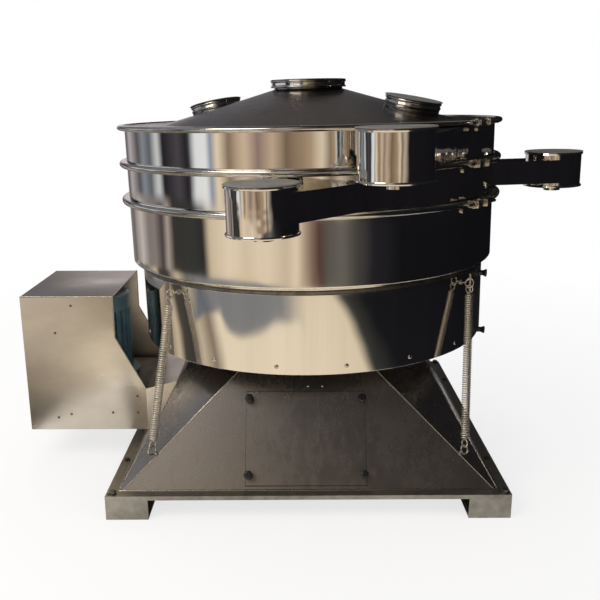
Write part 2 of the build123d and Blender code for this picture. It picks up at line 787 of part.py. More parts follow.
with BuildPart() as middle_frame:
    with BuildSketch(drum_section):
        flanged_shell(lower_joint, middle_joint, seat, seat)
    revolve(axis=drum_axis)
    for name in ("front_pot", "side_pot"):
        plane, low_side, high_side, tall = chute_block(name, pot_sheet)
        with BuildSketch(plane):
            span(0, shell_radius, low_side, high_side)
        extrude(amount=tall, mode=Mode.SUBTRACT)
middle_frame.part.label = "middle_frame"
export_step(middle_frame.part, "parts/middle_frame.step")

with BuildPart() as top_frame:
    with BuildSketch(drum_section):
        flanged_shell(middle_joint, upper_joint, seat, top_seat)
    revolve(axis=drum_axis)
    plane, low_side, high_side, tall = chute_block("upper_pot", pot_sheet)
    with BuildSketch(plane):
        span(0, shell_radius, low_side, high_side)
    extrude(amount=tall, mode=Mode.SUBTRACT)
top_frame.part.label = "top_frame"
export_step(top_frame.part, "parts/top_frame.step")

# Seals: one ring on each side of the pan's and the screen's rims, and one under the cover
rim_sheet = 2.0
with BuildPart() as frame_seals:
    with BuildSketch(drum_section):
        seal_inner = shell_radius - sheet
        seal_outer = shell_radius + flange_width
        for joint in (lower_joint, middle_joint):
            span(seal_inner, seal_outer, joint - seat, joint - rim_sheet / 2)
            span(seal_inner, seal_outer, joint + rim_sheet / 2, joint + seat)
        span(seal_inner, seal_outer, upper_joint - top_seat, upper_joint + top_seat)
    revolve(axis=drum_axis)
frame_seals.part.label = "frame_seals"
export_step(frame_seals.part, "parts/frame_seals.step")

# Fines pan: domed sheet whose rim is clamped in the lower joint
pan_edge = shell_radius - sheet - 4.0
pan_foot = lower_joint + rim_sheet / 2
dome_radius = (pan_edge ** 2 + pan_rise ** 2) / (2 * pan_rise)
dome_centre = (0, pan_foot + pan_rise - dome_radius)
dome_angle = degrees(asin(pan_edge / dome_radius))
with BuildPart() as fines_pan:
    with BuildSketch(drum_section):
        with BuildLine():
            dome = CenterArc(dome_centre, dome_radius, 90, -dome_angle)
            under = CenterArc(dome_centre, dome_radius - rim_sheet, 90, -dome_angle)
            Line(dome @ 0, under @ 0)
            Polyline(dome @ 1, (shell_radius + flange_width, pan_foot),
                     (shell_radius + flange_width, pan_foot - rim_sheet), under @ 1)
        make_face()
    revolve(axis=drum_axis)
fines_pan.part.label = "fines_pan"
export_step(fines_pan.part, "parts/fines_pan.step")

# Screen: ring with a rim in the middle joint and the mesh stretched over it
screen_radius = pan_edge
with BuildPart() as screen_deck:
    with BuildSketch(drum_section):
        span(screen_radius - screen_wall, shell_radius + flange_width, middle_joint - rim_sheet / 2,
             middle_joint + rim_sheet / 2)
        span(screen_radius - screen_wall, screen_radius, tray_low, middle_joint)
        mesh_low = middle_joint - rim_sheet / 2
        span(0, screen_radius - screen_wall, mesh_low, mesh_low + mesh_thick)
    revolve(axis=drum_axis)
screen_deck.part.label = "screen_deck"
export_step(screen_deck.part, "parts/screen_deck.step")

# Ball tray under the mesh: perforated sheet inside the screen's ring, with its loose balls
tray_radius = screen_radius - screen_wall
with BuildPart() as ball_tray:
    with BuildSketch(drum_plane(tray_low)):
        Circle(tray_radius)
        for ring, count in ((110.0, 5), (225.0, 11), (340.0, 17), (455.0, 23)):
            with PolarLocations(ring, count):
                Circle(tray_hole, mode=Mode.SUBTRACT)
    extrude(amount=rim_sheet)
ball_tray.part.label = "ball_tray"
export_step(ball_tray.part, "parts/ball_tray.step")

ball_ring = 397.5
with BuildPart() as screen_balls:
    with Locations(drum_plane(tray_low + rim_sheet + ball_radius)):
        with PolarLocations(ball_ring, ball_count):
            Sphere(ball_radius)
screen_balls.part.label = "screen_balls"
export_step(screen_balls.part, "parts/screen_balls.step")

# Cover: flat rim, dished cone, feed neck and two inspection necks square to the cone
cover_low = upper_joint + top_seat
cover_top = cover_low + sheet
cone_high = cover_top + cone_rise
cone_middle = (annulus_inner + neck_radius) / 2


def cone_curve(drop):
    """Arc of the dished cone from the rim to the neck, lowered by the drop."""
    low = cover_top - drop
    return ThreePointArc((annulus_inner, low), (cone_middle, low + cone_rise / 2 - cone_sag),
                         (neck_radius, low + cone_rise))


def port_plane(turn):
    """Plane square to an inspection neck where its axis meets the cone."""
    across = drum_across(turn)
    share = (annulus_inner - port_reach) / (annulus_inner - neck_radius)
    height = cover_top + cone_rise * share - cone_sag * 4 * share * (1 - share)
    normal = across * sin(radians(port_lean)) + drum_up * cos(radians(port_lean))
    return Plane(origin=drum_point(port_reach, turn, height), x_dir=across.cross(drum_up) * -1, z_dir=normal)


port_planes = [port_plane(port_turn), port_plane(port_turn + 180)]
neck_top = cone_high + neck_height
neck_inner = neck_radius - sheet
port_inner = port_radius - sheet
cover_edge = shell_radius + flange_width
with BuildPart() as cover:
    for plane in port_planes:
        with BuildSketch(plane.offset(-port_height)):
            Circle(port_radius)
        extrude(amount=2 * port_height)
    with BuildSketch(drum_section):
        with BuildLine():
            under = cone_curve(sheet)
            Polyline(under @ 0, (cover_edge, cover_low), (cover_edge, 0), (0, 0), (0, cone_high),
                     (neck_inner, cone_high), (neck_inner, cone_high - sheet), under @ 1)
        make_face()
    revolve(axis=drum_axis, mode=Mode.SUBTRACT)
    with BuildSketch(drum_section):
        with BuildLine():
            upper = cone_curve(0)
            under = cone_curve(sheet)
            Polyline(upper @ 0, (cover_edge, cover_top), (cover_edge, cover_low), under @ 0)
            Polyline(upper @ 1, (neck_radius, neck_top - sheet), (neck_flange, neck_top - sheet),
                     (neck_flange, neck_top), (neck_inner, neck_top), (neck_inner, cone_high - sheet),
                     under @ 1)
        make_face()
    revolve(axis=drum_axis)
    for plane in port_planes:
        with BuildSketch(plane.offset(-port_height)):
            Circle(port_inner)
        extrude(amount=2 * port_height, mode=Mode.SUBTRACT)
cover.part.label = "cover"
export_step(cover.part, "parts/cover.step")

# Band clamp round the feed neck
with BuildPart() as neck_band_clamp:
    with BuildSketch(drum_section):
        band_low_edge = neck_top - sheet - neck_band
        span(neck_radius, neck_flange - sheet, band_low_edge, neck_top - sheet)
        for low in (band_low_edge, neck_top - sheet - neck_band / 3):
            span(neck_radius, neck_flange, low, low + neck_band / 3)
    revolve(axis=drum_axis)
neck_band_clamp.part.label = "neck_band_clamp"
export_step(neck_band_clamp.part, "parts/neck_band_clamp.step")

# Clamp rings: channel rings over each pair of flanges, split at the closure
closure_turn = -42.0
closure_gap = 12.0
lug_thick = 8.0
lug_reach = 30.0
lug_offset = 26.0
bolt_radius = 5.0
bolt_length = 120.0
joints = {"lower_clamp_ring": (lower_joint, seat), "middle_clamp_ring": (middle_joint, seat),
          "upper_clamp_ring": (upper_joint, top_seat)}
ring_outer = shell_radius + ring_width
for name, (joint, joint_seat) in joints.items():
    grip = joint_seat + flange_sheet
    half_ring = ring_height / 2 if joint_seat == seat else ring_height * 0.4
    with BuildPart() as clamp_ring:
        with BuildSketch(drum_section) as ring_profile:
            span(shell_radius + ring_lip, ring_outer, joint - half_ring, joint + half_ring)
            fillet(ring_profile.vertices().group_by(Axis.X)[-1], half_ring * 0.6)
            span(shell_radius, cover_edge, joint - grip, joint + grip, mode=Mode.SUBTRACT)
        revolve(axis=drum_axis)
        with BuildSketch(drum_plane(joint - half_ring)):
            with Locations(Location((0, 0), closure_turn)):
                span(shell_radius, ring_outer + 1, -closure_gap / 2, closure_gap / 2)
        extrude(amount=2 * half_ring, mode=Mode.SUBTRACT)
        with BuildSketch(drum_plane(joint - half_ring)):
            with Locations(Location((0, 0), closure_turn)):
                for side in (-1, 1):
                    span(cover_edge + 2, ring_outer + lug_reach, side * lug_offset - lug_thick / 2,
                         side * lug_offset + lug_thick / 2)
        extrude(amount=2 * half_ring)
        with BuildSketch(upright_plane(closure_turn, joint)):
            with Locations((ring_outer + lug_reach / 2, 0)):
                Circle(bolt_radius + ring_gap)
        extrude(amount=bolt_length, both=True, mode=Mode.SUBTRACT)
    clamp_ring.part.label = name
    export_step(clamp_ring.part, f"parts/{name}.step")

# T-bolts with nuts that draw each clamp ring together
nut_radius = 9.0
nut_thick = 8.0
with BuildPart() as closure_bolts:
    for joint in (lower_joint, middle_joint, upper_joint):
        along = upright_plane(closure_turn, joint)
        spot = (ring_outer + lug_reach / 2, 0)
        with BuildSketch(along):
            with Locations(spot):
                Circle(bolt_radius)
        extrude(amount=bolt_length / 2, both=True)
        for side in (-1, 1):
            start = lug_offset + lug_thick / 2
            with BuildSketch(along.offset(side * start)):
                with Locations(spot):
                    RegularPolygon(nut_radius, 6)
            extrude(amount=side * nut_thick)
closure_bolts.part.label = "closure_bolts"
export_step(closure_bolts.part, "parts/closure_bolts.step")

# Studs with dome nuts beside the closures
stud_offset = 21.0
stud_radius = 6.0
stud_spots = ((-45.0, lower_joint - stud_offset), (-45.0, middle_joint - stud_offset),
              (-45.0, middle_joint + stud_offset), (-38.0, upper_joint - stud_offset))
with BuildPart() as shell_studs:
    for turn, height in stud_spots:
        with BuildSketch(outward_plane(shell_radius, turn, height)):
            Circle(stud_radius)
        extrude(amount=stud_radius)
shell_studs.part.label = "shell_studs"
export_step(shell_studs.part, "parts/shell_studs.step")

# Discharge pots: round tubs with a tangential chute to the drum and a spout in the floor
bead_height = 8.0
lid_radius = pot_radius + pot_bead + 1.0
plug_depth = 9.0
for name, (x, y, floor, tub_height, turn, side, chute_low) in pots.items():
    with BuildPart() as pot:
        with BuildSketch(drum_plane(floor, x, y)):
            Circle(pot_radius)
        extrude(amount=tub_height)
        for low in (floor, floor + tub_height - bead_height):
            with BuildSketch(drum_plane(low, x, y)):
                Circle(pot_radius + pot_bead)
            extrude(amount=bead_height)
        plane, low_side, high_side, tall = chute_block(name, 0)
        with BuildSketch(plane):
            span(0, shell_radius, low_side, high_side)
        extrude(amount=tall)
        with BuildSketch(drum_plane(floor)):
            Circle(shell_radius)
        extrude(amount=tub_height, mode=Mode.SUBTRACT)
        with BuildSketch(drum_plane(floor, x, y)):
            Circle(spout_radius)
        extrude(amount=-spout_length)
        with BuildSketch(drum_plane(floor + pot_sheet, x, y)):
            Circle(pot_radius - pot_sheet)
        extrude(amount=tub_height, mode=Mode.SUBTRACT)
        plane, low_side, high_side, tall = chute_block(name, pot_sheet)
        with BuildSketch(plane):
            span(0, shell_radius, low_side, high_side)
        extrude(amount=tall, mode=Mode.SUBTRACT)
        with BuildSketch(drum_plane(floor - spout_length, x, y)):
            Circle(spout_radius - pot_sheet)
        extrude(amount=2 * spout_length, mode=Mode.SUBTRACT)
    pot.part.label = name
    export_step(pot.part, f"parts/{name}.step")

# Slip-on lids: a disc with a plug ring inside the tub or neck below it
lid_places = {}
for name, (x, y, floor, tub_height, turn, side, chute_low) in pots.items():
    lid_seat = drum_plane(floor + tub_height + seat_gap, x, y)
    lid_places[name + "_lid"] = (lid_seat, lid_radius, pot_radius - pot_sheet)
for name, plane in zip(("right_port_lid", "left_port_lid"), port_planes):
    lid_places[name] = (plane.offset(port_height + seat_gap), port_radius + lid_over + lid_thick, port_inner)
for name, (plane, outside, bore) in lid_places.items():
    with BuildPart() as lid:
        with BuildSketch(plane):
            Circle(outside)
        extrude(amount=lid_thick)
        with BuildSketch(plane):
            Circle(bore - seat_gap)
            Circle(bore - seat_gap - pot_sheet, mode=Mode.SUBTRACT)
        extrude(amount=-plug_depth)
    lid.part.label = name
    export_step(lid.part, f"parts/{name}.step")

# Springs: each hangs between an eye bolt in the drum's rim band and an eye on a corner facet.
# A spring is a plain body of its coil's outer size with a ring at each end.
link = eye_radius - eye_wire - hook_wire - seat_gap
coil_offset = link + 2 * hook_radius - hook_wire / 2
spring_names = ("rear_right_spring", "rear_left_spring", "front_left_spring", "front_right_spring")
spring_lines = []
for azimuth, (x_side, y_side) in zip(eye_azimuths, corners):
    low_eye = Vector(x_side * anchor_x, y_side * anchor_y, anchor_z)
    high_eye = drum_point(eye_reach, azimuth, eye_height)
    radial = drum_across(azimuth)
    facet = facet_plane(x_side, y_side)
    pull = (high_eye - low_eye).normalized()
    spring_lines.append((low_eye, high_eye, pull, radial, facet))

with BuildPart() as spring_eyes:
    for low_eye, high_eye, pull, radial, facet in spring_lines:
        with BuildSketch(Plane(origin=high_eye - radial * eye_radius, z_dir=radial)):
            Circle(eye_wire)
        extrude(amount=eye_radius + skirt_inner - eye_reach)
        with Locations(Plane(origin=high_eye, z_dir=radial.cross(pull))):
            Torus(eye_radius, eye_wire)
spring_eyes.part.label = "spring_eyes"
export_step(spring_eyes.part, "parts/spring_eyes.step")

washer_radius = 10.0
washer_height = 3.0
with BuildPart() as spring_anchors:
    for low_eye, high_eye, pull, radial, facet in spring_lines:
        normal = facet.z_dir
        clearance = (low_eye - facet.origin).dot(normal)
        foot = low_eye - normal * clearance
        with BuildSketch(Plane(origin=foot, z_dir=normal)):
            Circle(eye_wire)
        extrude(amount=clearance - eye_radius)
        with BuildSketch(Plane(origin=foot, z_dir=normal)):
            Circle(washer_radius)
        extrude(amount=washer_height)
        with Locations(Plane(origin=low_eye, z_dir=normal.cross(pull))):
            Torus(eye_radius, eye_wire)
spring_anchors.part.label = "spring_anchors"
export_step(spring_anchors.part, "parts/spring_anchors.step")

for name, (low_eye, high_eye, pull, radial, facet) in zip(spring_names, spring_lines):
    with BuildPart() as spring:
        coil_length = (high_eye - low_eye).length - 2 * coil_offset
        with BuildSketch(Plane(origin=low_eye + pull * coil_offset, z_dir=pull)):
            Circle(spring_radius)
        extrude(amount=coil_length)
        for eye, outward, bolt in ((low_eye, pull, facet.z_dir), (high_eye, pull * -1, radial)):
            ring_normal = pull.cross(bolt.cross(pull))
            with Locations(Plane(origin=eye + outward * (link + hook_radius), z_dir=ring_normal)):
                Torus(hook_radius, hook_wire)
    spring.part.label = name
    export_step(spring.part, f"parts/{name}.step")
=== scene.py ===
import bmesh
import bpy
import math
import random
from mathutils import Matrix, Vector


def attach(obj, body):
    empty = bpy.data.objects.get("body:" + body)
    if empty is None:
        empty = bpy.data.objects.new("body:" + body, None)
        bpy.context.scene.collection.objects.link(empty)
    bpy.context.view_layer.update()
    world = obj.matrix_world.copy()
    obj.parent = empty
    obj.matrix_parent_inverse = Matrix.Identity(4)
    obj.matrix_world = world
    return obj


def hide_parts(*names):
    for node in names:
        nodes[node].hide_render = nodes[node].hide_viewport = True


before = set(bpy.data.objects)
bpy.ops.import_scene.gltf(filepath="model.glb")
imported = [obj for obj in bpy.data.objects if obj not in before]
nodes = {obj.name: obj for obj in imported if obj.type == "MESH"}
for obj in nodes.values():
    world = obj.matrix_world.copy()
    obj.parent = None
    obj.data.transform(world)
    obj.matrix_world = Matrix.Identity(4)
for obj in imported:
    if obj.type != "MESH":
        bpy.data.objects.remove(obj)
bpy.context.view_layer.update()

# Camera: a normal lens about 2.6 m in front of the machine, a little above its rim, looking down.
camera_yaw = 0.0067
camera_pitch = -0.2535
camera_roll = -0.0016
ahead = Vector((math.sin(camera_yaw) * math.cos(camera_pitch), math.cos(camera_yaw) * math.cos(camera_pitch),
                math.sin(camera_pitch)))
level = Vector((math.cos(camera_yaw), -math.sin(camera_yaw), 0))
up = level.cross(ahead)
right = level * math.cos(camera_roll) + up * math.sin(camera_roll)
up = up * math.cos(camera_roll) - level * math.sin(camera_roll)
camera_data = bpy.data.cameras.new("camera")
camera_data.lens = 45.893
camera_data.sensor_width = 36.0
camera = bpy.data.objects.new("camera", camera_data)
bpy.context.scene.collection.objects.link(camera)
camera.matrix_world = Matrix.Translation((-0.03811, -2.60718, 1.1856)) @ Matrix(
    (right, up, -ahead)).transposed().to_4x4()
bpy.context.scene.camera = camera
bpy.context.scene.view_settings.view_transform = "Standard"


# Studio: a pale seamless floor in soft white light. A ring of glowing boards stands round it out of
# the picture, seen only by glossy rays: their colours are painted reflections, glints and shade for the polished steel.
def linear(colour):
    """Linear colour of an sRGB hex value."""
    parts = [int(colour[i:i + 2], 16) / 255 for i in (1, 3, 5)]
    return tuple(p / 12.92 if p <= 0.04045 else ((p + 0.055) / 1.055) ** 2.4 for p in parts) + (1.0,)


def add(tree, kind, inputs=None, **settings):
    """Adds a node: settings are its own properties, inputs its values or the sockets it reads."""
    made = tree.nodes.new(kind)
    for key, value in settings.items():
        setattr(made, key, value)
    for key, value in (inputs or {}).items():
        if isinstance(value, bpy.types.NodeSocket):
            tree.links.new(value, made.inputs[key])
        else:
            made.inputs[key].default_value = value
    return made


def ramp(tree, factor, stops, interpolation="LINEAR"):
    """Colour ramp from (place, colour) pairs."""
    made = add(tree, "ShaderNodeValToRGB", {"Fac": factor})
    made.color_ramp.interpolation = interpolation
    points = made.color_ramp.elements
    while len(points) < len(stops):
        points.new(0.5)
    for point, (place, colour) in zip(points, stops):
        point.position = place
        point.color = linear(colour) if isinstance(colour, str) else (colour, colour, colour, 1)
    return made.outputs["Color"]


def link(name, mesh):
    """Puts a mesh into the scene as an object at the origin."""
    made = bpy.data.objects.new(name, mesh)
    bpy.context.scene.collection.objects.link(made)
    return made


floor_mesh = bpy.data.meshes.new("floor")
floor_size = 14.0
floor_mesh.from_pydata([(x * floor_size, y * floor_size, 0) for x, y in ((-1, -1), (1, -1), (1, 1), (-1, 1))],
                       [], [(0, 1, 2, 3)])
floor = link("floor", floor_mesh)
floor_paint = bpy.data.materials.new("white seamless paper")
floor_paint.use_nodes = True
tree = floor_paint.node_tree
tree.nodes.clear()
rays = add(tree, "ShaderNodeLightPath").outputs
paper = add(tree, "ShaderNodeBsdfDiffuse", {"Color": linear("#F2F1EF")})
glow = add(tree, "ShaderNodeEmission", {"Color": linear("#FFFFFF"), "Strength": 1.0})
away = add(tree, "ShaderNodeVectorMath", {0: add(tree, "ShaderNodeTexCoord").outputs["Object"]}, operation="LENGTH")
white = add(tree, "ShaderNodeMapRange", {"Value": away.outputs["Value"], "From Min": 0.8, "From Max": 3.2,
                                         "To Min": 0.74, "To Max": 1.0}).outputs[0]
seen = add(tree, "ShaderNodeMath", {0: rays["Is Camera Ray"], 1: white}, operation="MULTIPLY")
floor_shader = add(tree, "ShaderNodeMixShader", {0: seen.outputs[0], 1: paper.outputs[0], 2: glow.outputs[0]})
add(tree, "ShaderNodeOutputMaterial", {"Surface": floor_shader.outputs[0]})
floor_mesh.materials.append(floor_paint)

world = bpy.data.worlds.new("studio")
bpy.context.scene.world = world
world.use_nodes = True
tree = world.node_tree
tree.nodes.clear()
rays = add(tree, "ShaderNodeLightPath").outputs
aim = add(tree, "ShaderNodeSeparateXYZ", {0: add(tree, "ShaderNodeTexCoord").outputs["Generated"]}).outputs


def patch(x_range, y_range):
    """Soft share of the sky that lies above 30 degrees and between two values of X and of Y."""
    shares = [add(tree, "ShaderNodeMapRange", {"Value": aim[axis], "From Min": low, "From Max": high},
                  interpolation_type="SMOOTHSTEP").outputs[0]
              for axis, (low, high) in (("X", x_range), ("Y", y_range), ("Z", (0.35, 0.6)))]
    first = add(tree, "ShaderNodeMath", {0: shares[0], 1: shares[1]}, operation="MULTIPLY").outputs[0]
    return add(tree, "ShaderNodeMath", {0: first, 1: shares[2]}, operation="MULTIPLY").outputs[0]


# The sky seen by glossy rays is dark with four soft patches: painted reflections for particular faces of the steel.
painted_sky_reflection = linear("#272628")
for where, colour in ((patch((1.2, 1.1), (0.45, 0.6)), "#77726F"), (patch((0.6, 0.4), (-0.3, -0.55)), "#38383D"),
                      (patch((-0.25, -0.6), (-0.6, -0.2)), "#8A909D"), (patch((-0.03, -0.16), (-0.25, -0.55)), "#C2BBB8")):
    painted_sky_reflection = add(tree, "ShaderNodeMix", {0: where, 6: painted_sky_reflection, 7: linear(colour)}, data_type="RGBA").outputs[2]
soft = add(tree, "ShaderNodeBackground", {"Color": linear("#F4F5F7"), "Strength": 0.62})
mirrored = add(tree, "ShaderNodeBackground", {"Color": painted_sky_reflection, "Strength": 1.0})
behind = add(tree, "ShaderNodeBackground", {"Color": linear("#FFFFFF"), "Strength": 1.0})
shown = add(tree, "ShaderNodeMixShader", {0: rays["Is Glossy Ray"], 1: soft.outputs[0], 2: mirrored.outputs[0]})
clear = add(tree, "ShaderNodeMath", {0: rays["Is Camera Ray"], 1: rays["Is Transmission Ray"]}, operation="MAXIMUM")
shown = add(tree, "ShaderNodeMixShader", {0: clear.outputs[0], 1: shown.outputs[0], 2: behind.outputs[0]})
add(tree, "ShaderNodeOutputWorld", {"Surface": shown.outputs[0]})

board_radius = 3.3
board_height = 3.2
board_steps = 180
board_mesh = bpy.data.meshes.new("boards")
rings = ((1.05, 0.004), (board_radius, 0.004), (board_radius, board_height))
points = [(r * math.sin(2 * math.pi * i / board_steps), -r * math.cos(2 * math.pi * i / board_steps), z)
          for r, z in rings for i in range(board_steps)]
faces = [(k * board_steps + i, k * board_steps + (i + 1) % board_steps, (k + 1) * board_steps + (i + 1) % board_steps,
          (k + 1) * board_steps + i) for k in range(len(rings) - 1) for i in range(board_steps)]
board_mesh.from_pydata(points, [], faces)
boards = link("boards", board_mesh)
reflection_board_paint = bpy.data.materials.new("painted studio boards")
reflection_board_paint.use_nodes = True
tree = reflection_board_paint.node_tree
tree.nodes.clear()
place = add(tree, "ShaderNodeTexCoord").outputs["Object"]
turned = add(tree, "ShaderNodeVectorRotate", {"Vector": place, "Angle": math.radians(-90)}, rotation_type="Z_AXIS")
round_share = add(tree, "ShaderNodeTexGradient", {"Vector": turned.outputs[0]}, gradient_type="RADIAL").outputs["Fac"]
# Each height band of the boards is a ramp of painted reflections. The high band's white stripes are the painted glints
# on the necks and the port beads.
high_band_painted_glints = ramp(tree, round_share, (
    (0.0, "#8A7A60"), (0.06, "#3A342C"), (0.125, "#1A191B"), (0.46, "#0E0E11"), (0.485, "#DCD4D3"), (0.57, "#DCD4D3"), (0.61, "#3A393E"),
    (0.65, "#1A1A1E"), (0.67, "#E8EDF5"), (0.785, "#E8EDF5"), (0.80, "#15151B"), (0.835, "#15151B"), (0.85, "#D8DEEA"),
    (0.92, "#D8DEEA"), (0.94, "#2A2622"), (0.96, "#D9CDA4"), (1.0, "#8A7A60")))
# Top band: painted reflections for the faces that see highest.
top_band_painted_reflection = ramp(tree, round_share, (
    (0.0, "#3E3E42"), (0.05, "#2E2E32"), (0.12, "#1C1C1F"), (0.44, "#1C1C1F"), (0.5, "#8A8688"), (0.6, "#6E7078"),
    (0.7, "#7E848F"), (0.8, "#6E7078"), (0.93, "#8E8884"), (0.955, "#B5AFAD"), (0.985, "#5A5A5E"), (1.0, "#3E3E42")))
# Middle band: light and dark stripes, the painted reflections that the shells show as streaks.
wall = ramp(tree, round_share, (
    (0.0, "#B09A80"), (0.015, "#E6D8C2"), (0.028, "#7B6958"), (0.04, "#C9BBA8"), (0.055, "#8C8177"), (0.07, "#17161A"),
    (0.47, "#0E0E11"), (0.49, "#D2C9C6"), (0.56, "#C6BCBC"), (0.60, "#5A5659"), (0.63, "#B4AEB2"), (0.67, "#5A565B"),
    (0.69, "#8C939E"), (0.714, "#5F666E"), (0.735, "#D5D9DF"), (0.75, "#232126"), (0.787, "#4C4950"), (0.808, "#1D1B20"),
    (0.82, "#E8EDF3"), (0.838, "#F2F6FA"), (0.848, "#8F9BAE"), (0.86, "#F3E3CA"), (0.88, "#87735F"), (0.90, "#D6C2A8"),
    (0.922, "#96807A"), (0.945, "#C9B49C"), (0.965, "#7D6B5A"), (1.0, "#B09A80")))
# Low band: painted reflections for the faces that see low.
low_band_painted_reflection = ramp(tree, round_share, (
    (0.0, "#8A7468"), (0.012, "#5A3F3A"), (0.022, "#5E5A55"), (0.045, "#6B6862"), (0.065, "#4A4846"), (0.09, "#26252A"),
    (0.14, "#141417"), (0.47, "#0E0E11"), (0.5, "#B9AFAC"), (0.62, "#6B6668"), (0.66, "#C9C0BC"), (0.69, "#8A8280"),
    (0.715, "#8C8280"), (0.735, "#4A4446"), (0.75, "#B0A5A0"), (0.765, "#3A3836"), (0.81, "#3A3C3B"), (0.825, "#2A2A2B"),
    (0.838, "#D8C8B0"), (0.87, "#F0DFC6"), (0.90, "#E2D0B6"), (0.93, "#F2E2CA"), (0.96, "#D9C7AE"), (0.975, "#F0E0C8"),
    (0.99, "#B8A48F"), (1.0, "#8A7468")))
# The share is shifted with the distance from the centre, so the edge of the painted shadow on the ground runs at a
# slant.
reach = add(tree, "ShaderNodeVectorMath", {0: place}, operation="LENGTH").outputs["Value"]
slant = add(tree, "ShaderNodeMath", {0: reach, 1: 1.3}, operation="SUBTRACT").outputs[0]
shadow_slanted_share = add(tree, "ShaderNodeMath", {0: slant, 1: 0.035, 2: round_share}, operation="MULTIPLY_ADD").outputs[0]
shadow_slanted_share = add(tree, "ShaderNodeMath", {0: shadow_slanted_share, 1: 1.0}, operation="MODULO").outputs[0]
# Ground ring: painted reflection of a pale floor; its dark stripes are a painted shadow.
ground = ramp(tree, shadow_slanted_share, (
    (0.0, "#F0E2CA"), (0.098, "#E8D9C0"), (0.115, "#3A3B39"), (0.15, "#1A1A1E"), (0.46, "#0F0F12"), (0.53, "#8B8482"),
    (0.66, "#6B6360"), (0.70, "#D9CBB6"), (0.714, "#8F8582"), (0.74, "#3D3633"), (0.775, "#D2C2AA"), (0.79, "#4E463F"),
    (0.815, "#3E3E3D"), (0.835, "#CCBEA8"), (0.86, "#8A7C6C"), (0.88, "#F2E4CC"), (1.0, "#F0E2CA")))
# Painted reflection of a blue-grey cloud, laid on the far ground between two turns.
painted_cloud_reflection = add(tree, "ShaderNodeTexNoise", {"Vector": place, "Scale": 0.9, "Detail": 1.0, "Distortion": 0.6}).outputs["Fac"]
painted_cloud_reflection = add(tree, "ShaderNodeMath", {0: painted_cloud_reflection, 1: 2.2, 2: reach}, operation="MULTIPLY_ADD").outputs[0]
painted_cloud_reflection = add(tree, "ShaderNodeMapRange", {"Value": painted_cloud_reflection, "From Min": 3.2, "From Max": 3.5, "To Max": 0.85}).outputs[0]
for start, end in ((0.77, 0.80), (0.99, 0.95)):
    limit = add(tree, "ShaderNodeMapRange", {"Value": round_share, "From Min": start, "From Max": end}).outputs[0]
    painted_cloud_reflection = add(tree, "ShaderNodeMath", {0: painted_cloud_reflection, 1: limit}, operation="MULTIPLY").outputs[0]
painted_reflection_colour = add(tree, "ShaderNodeMix", {0: painted_cloud_reflection, 6: ground, 7: linear("#646C7A")}, data_type="RGBA").outputs[2]
rise = add(tree, "ShaderNodeSeparateXYZ", {0: place}).outputs["Z"]
for start, end, colours in ((0.02, 0.05, low_band_painted_reflection), (0.47, 0.55, wall), (1.12, 1.16, high_band_painted_glints),
                            (1.55, 1.65, top_band_painted_reflection)):
    edge = add(tree, "ShaderNodeMapRange", {"Value": rise, "From Min": start, "From Max": end}).outputs[0]
    painted_reflection_colour = add(tree, "ShaderNodeMix", {0: edge, 6: painted_reflection_colour, 7: colours}, data_type="RGBA").outputs[2]
board_glow = add(tree, "ShaderNodeEmission", {"Color": painted_reflection_colour, "Strength": 1.0})
add(tree, "ShaderNodeOutputMaterial", {"Surface": board_glow.outputs[0]})
board_mesh.materials.append(reflection_board_paint)
for ray in ("camera", "diffuse", "transmission", "volume_scatter", "shadow"):
    setattr(boards, "visible_" + ray, False)

for name, spot, size, power, tint in (("key", (-2.6, -2.4, 3.4), 2.2, 105, "#FFF6E8"),
                                      ("fill", (3.0, -2.6, 2.2), 2.6, 26, "#EEF3FF"),
                                      ("back", (-0.8, 2.6, 3.6), 2.4, 50, "#FFFFFF")):
    lamp_data = bpy.data.lights.new(name, "AREA")
    lamp_data.size = size
    lamp_data.energy = power
    lamp_data.color = linear(tint)[:3]
    lamp = bpy.data.objects.new(name, lamp_data)
    bpy.context.scene.collection.objects.link(lamp)
    lamp.location = spot
    lamp.visible_glossy = name == "key"
    lamp.rotation_euler = (Vector((0, 0, 0.6)) - Vector(spot)).to_track_quat("-Z", "Y").to_euler()


# Feet and frame plate: short lengths of square steel tube welded under a cut stainless plate. Mill
# finish, cold rolled: a grey, softly streaked surface that mirrors only a blur.
def steel(name, light, dark, roughness, grain=(1.0, 1.0, 1.0), streak=18.0, bump=0.0, metallic=1.0):
    """Metal whose tone and roughness drift along its grain. Grain is the stretch of the pattern."""
    made = bpy.data.materials.new(name)
    made.use_nodes = True
    tree = made.node_tree
    tree.nodes.clear()
    place = add(tree, "ShaderNodeTexCoord").outputs["Object"]
    drawn = add(tree, "ShaderNodeMapping", {"Vector": place, "Scale": grain}).outputs[0]
    streaks = add(tree, "ShaderNodeTexNoise", {"Vector": drawn, "Scale": streak, "Detail": 6.0, "Roughness": 0.62})
    clouds = add(tree, "ShaderNodeTexNoise", {"Vector": place, "Scale": 4.5, "Detail": 3.0})
    both = add(tree, "ShaderNodeMath", {0: streaks.outputs["Fac"], 1: clouds.outputs["Fac"]}, operation="ADD")
    share = add(tree, "ShaderNodeMapRange", {"Value": both.outputs[0], "From Min": 0.75, "From Max": 1.25}).outputs[0]
    colour = ramp(tree, share, ((0.0, dark), (1.0, light)))
    rough = add(tree, "ShaderNodeMapRange", {"Value": share, "From Min": 0.0, "From Max": 1.0,
                                             "To Min": roughness * 1.25, "To Max": roughness * 0.8}).outputs[0]
    shader = add(tree, "ShaderNodeBsdfPrincipled", {"Base Color": colour, "Roughness": rough, "Metallic": metallic})
    if bump:
        relief = add(tree, "ShaderNodeBump", {"Strength": 0.6, "Distance": bump, "Height": streaks.outputs["Fac"]})
        tree.links.new(relief.outputs[0], shader.inputs["Normal"])
    add(tree, "ShaderNodeOutputMaterial", {"Surface": shader.outputs[0]})
    return made


